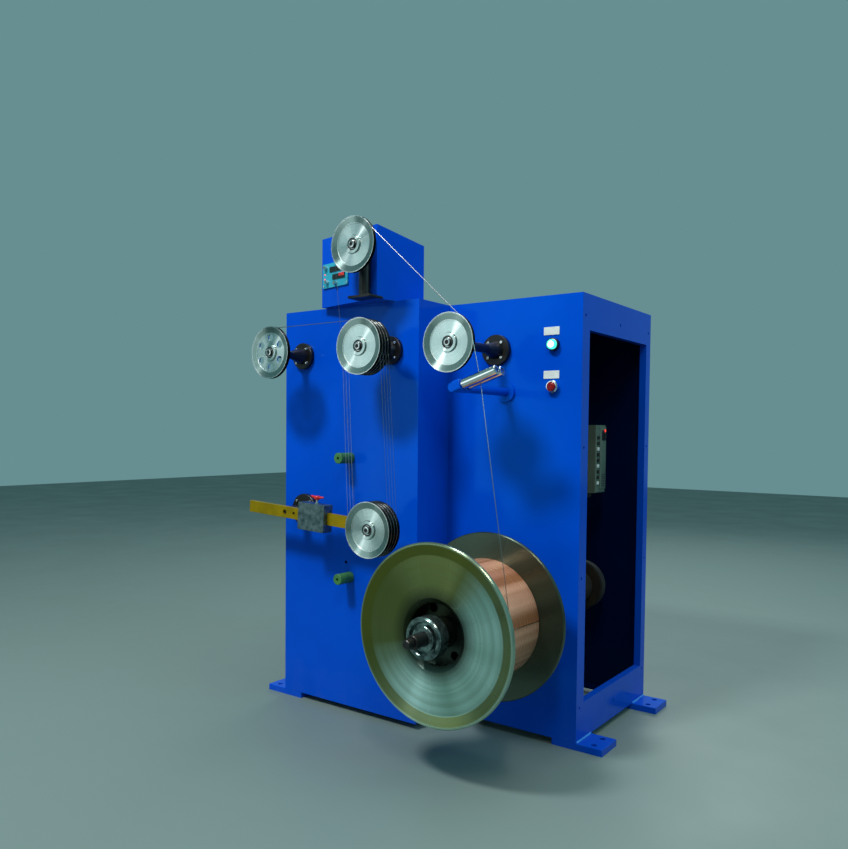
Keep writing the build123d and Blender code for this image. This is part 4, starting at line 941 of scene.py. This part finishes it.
# inverter face, terminals, vent slits drawn as black bars (painted shade for the openings), lamp and its glands
inverterTrim = {"face": 330.0, "y": (285.0, 346.0), "z": (580.0, 760.0), "terminals": 9, "slits": 6,
                "gland": [(0, 0), (7.5, 0), (7.5, 5), (6.0, 6), (6.0, 14), (4.0, 16), (0, 16)]}


def makeInverterTrim(look):
    x, (y0, y1), (z0, z1) = look["face"], look["y"], look["z"]
    bm = bmesh.new()
    addBlock(bm, (x - 1.0, y0 + 20, z0 + 10), (x + 3.0, y1 - 4, z1 - 6), 1.5)
    addBlock(bm, (x + 2.5, y0 + 27, z1 - 40), (x + 4.5, y1 - 10, z1 - 14), 0.8, slot=1)
    for k in range(look["terminals"]):
        z = z0 + 22 + k * 15.0
        addBlock(bm, (x - 0.5, y0 + 4, z), (x + 3.0, y0 + 15, z + 9.0), 1.0, slot=1 if k % 3 else 2)
    # painted shade: vent slits as black bars on the face
    for k in range(look["slits"]):
        z = z0 + 18 + k * 6.0
        addBlock(bm, (x + 2.5, y0 + 27, z), (x + 3.3, y1 - 10, z + 2.0), 0.3, slot=1, segments=1)
    finishPiece("inverterFront", bm, [paint["greyPlasticShaded"], paint["blackPlastic"], paint["whitePlate"]], "stand")
    bm = bmesh.new()
    addTurned(bm, [(0, 1.6), (3.0, 1.3), (4.2, 0.4), (4.2, 0)], (x + 4.2, y1 - 15, z1 - 15), 20, direction=(1, 0, 0))
    finishPiece("inverterLamp", bm, litRed, "stand")
    bm = bmesh.new()
    for y in (14, 32, 48):
        addTurned(bm, look["gland"], (x - 40, y0 + y, z0 + 0.5), 20, direction=(0, 0, -1))
    finishPiece("inverterGlands", bm, paint["blackPlastic"], "stand")


makeInverterTrim(inverterTrim)
print("control pieces dressed")

# motor: fan cover with its slots as black bars (painted shade for the openings), end shield bolts, and the screws of
# terminal box and feet
motorTrim = {"x": 60.0, "z": 150.0, "front": 120.0, "back": 330.0, "radius": 58.0, "slots": 10, "boltCircle": 46.0}


def makeMotorTrim(look):
    x, z, r, front = look["x"], look["z"], look["radius"], look["front"]
    bm = bmesh.new()
    addTurned(bm, [(0, 8.0), (r * 0.5, 8.0), (r - 6, 6.0), (r + 1.5, 0), (r + 1.5, -34), (r + 0.5, -34)],
              (x, front, z), 48)
    # painted shade: the fan cover's slots as black bars
    for k in range(look["slots"]):
        turn = placeAt((x, 0, z)) @ Matrix.Rotation(math.tau / look["slots"] * k, 4, "Y")
        addBlock(bm, (18.0, front - 9.0, -2.0), (44.0, front - 7.4, 2.0), 0.4, turn, slot=1, segments=1)
    finishPiece("fanCover", bm, [paint["greyPlasticShaded"], paint["blackPlastic"]], "stand")
    bm = bmesh.new()
    for k in range(4):
        addBolt(bm, rimPoint((x, 0, z), 45 + 90 * k, look["boltCircle"], look["back"]), 4.0, 4.0, (0, 1, 0))
    for u in (-30, 30):
        for y in (166.0, 234.0):
            addBolt(bm, (x + u, y, z + r + 40.0), 2.6, 2.4, (0, 0, 1), washer=False)
    for u in (-54, 54):
        for y in (160.0, 280.0):
            addBolt(bm, (x + u, y, 40.0), 5.0, 5.0, (0, 0, 1))
    finishPiece("motorScrews", bm, metal["brightSteel"], "stand")


makeMotorTrim(motorTrim)

# weld beads where the feet meet the body, in a lighter blue: a painted highlight along them
seams = {"beadR": 2.6, "side": 411.9, "height": 16.4, "pitch": 4.0,
         "spans": ((-1, -114.0, -35.0), (-1, 362.0, 441.0), (1, 17.0, 95.0), (1, 362.0, 441.0))}


def makeSeams(look):
    r = look["beadR"]
    bm = bmesh.new()
    for side, y0, y1 in look["spans"]:
        length = y1 - y0
        count = max(8, int(length / look["pitch"]))
        # a row of overlapping ripples along the joint
        ripple = [(r * (0.92 + 0.16 * math.sin(k * 1.7) ** 2), k * length / count) for k in range(count + 1)]
        addTurned(bm, [(0, 0), *ripple, (0, length)], (side * look["side"], y0, look["height"]), 12,
                  direction=(0, 1, 0))
    finishPiece("footWelds", bm, paint["weldHighlightBlue"], "stand", 80.0)


makeSeams(seams)
print("body dressed")

# floor, pale room and soft lights: name, place, target, size, power and colour
studio = {"floorColour": (0.15, 0.21, 0.2), "worldColour": (0.4, 0.8, 0.84), "worldStrength": 0.34}
lights = (
    ("keySoft", (-0.5, -2.5, 3.7), (-0.1, -0.1, 0.6), (0.7, 0.5), 125.0, (1.0, 1.0, 1.0)),
    ("frontPanel", (-1.9, -3.1, 1.05), (0.0, -0.2, 0.95), (1.3, 1.8), 8.0, (0.9, 1.0, 1.0)),
    ("rightGlint", (1.6, -2.2, 3.2), (0.25, -0.25, 0.4), (0.25, 1.2), 34.0, (1.0, 0.82, 0.72)),
    ("overheadSoft", (0.6, 0.4, 3.6), (0.0, 0.0, 0.5), (3.0, 2.0), 45.0, (1.0, 1.0, 1.0)),
    ("sideSoft", (3.2, 0.2, 3.0), (0.3, 0.1, 0.9), (1.6, 1.6), 32.0, (0.5, 0.95, 1.0)),
    ("backSoft", (-0.6, 3.4, 2.6), (0.0, 0.0, 0.6), (2.4, 1.6), 45.0, (1.0, 1.0, 1.0)))


def addLight(name, place, target, size, power, colour):
    data = bpy.data.lights.new(name, "AREA")
    data.shape, data.size, data.size_y = "RECTANGLE", size[0], size[1]
    data.energy, data.color = power, colour
    lamp = bpy.data.objects.new(name, data)
    scene.collection.objects.link(lamp)
    lamp.location = place
    lamp.rotation_mode = "QUATERNION"
    lamp.rotation_quaternion = (Vector(target) - Vector(place)).to_track_quat("-Z", "Y")


def makeStudio(look):
    bm = bmesh.new()
    bmesh.ops.create_grid(bm, x_segments=1, y_segments=1, size=9.0)
    mesh = bpy.data.meshes.new("studioFloor")
    bm.to_mesh(mesh)
    bm.free()
    floor = bpy.data.objects.new("studioFloor", mesh)
    scene.collection.objects.link(floor)
    material, tree, shader = startMaterial("floorFinish", {"Specular IOR Level": 0.3})
    setInputs(tree, shader, softTones(tree, 3.0, 5.0, (0.45, 0.6), {"Base Color": (look["floorColour"], 0.94)}))
    mesh.materials.append(material)
    world = bpy.data.worlds.new("paleRoom")
    world.use_nodes = True
    room = world.node_tree
    setInputs(room, room.nodes["Background"], {"Color": look["worldColour"], "Strength": look["worldStrength"]})
    scene.world = world


makeStudio(studio)
for light in lights:
    addLight(*light)
scene.view_settings.view_transform = "Standard"
print("studio set")
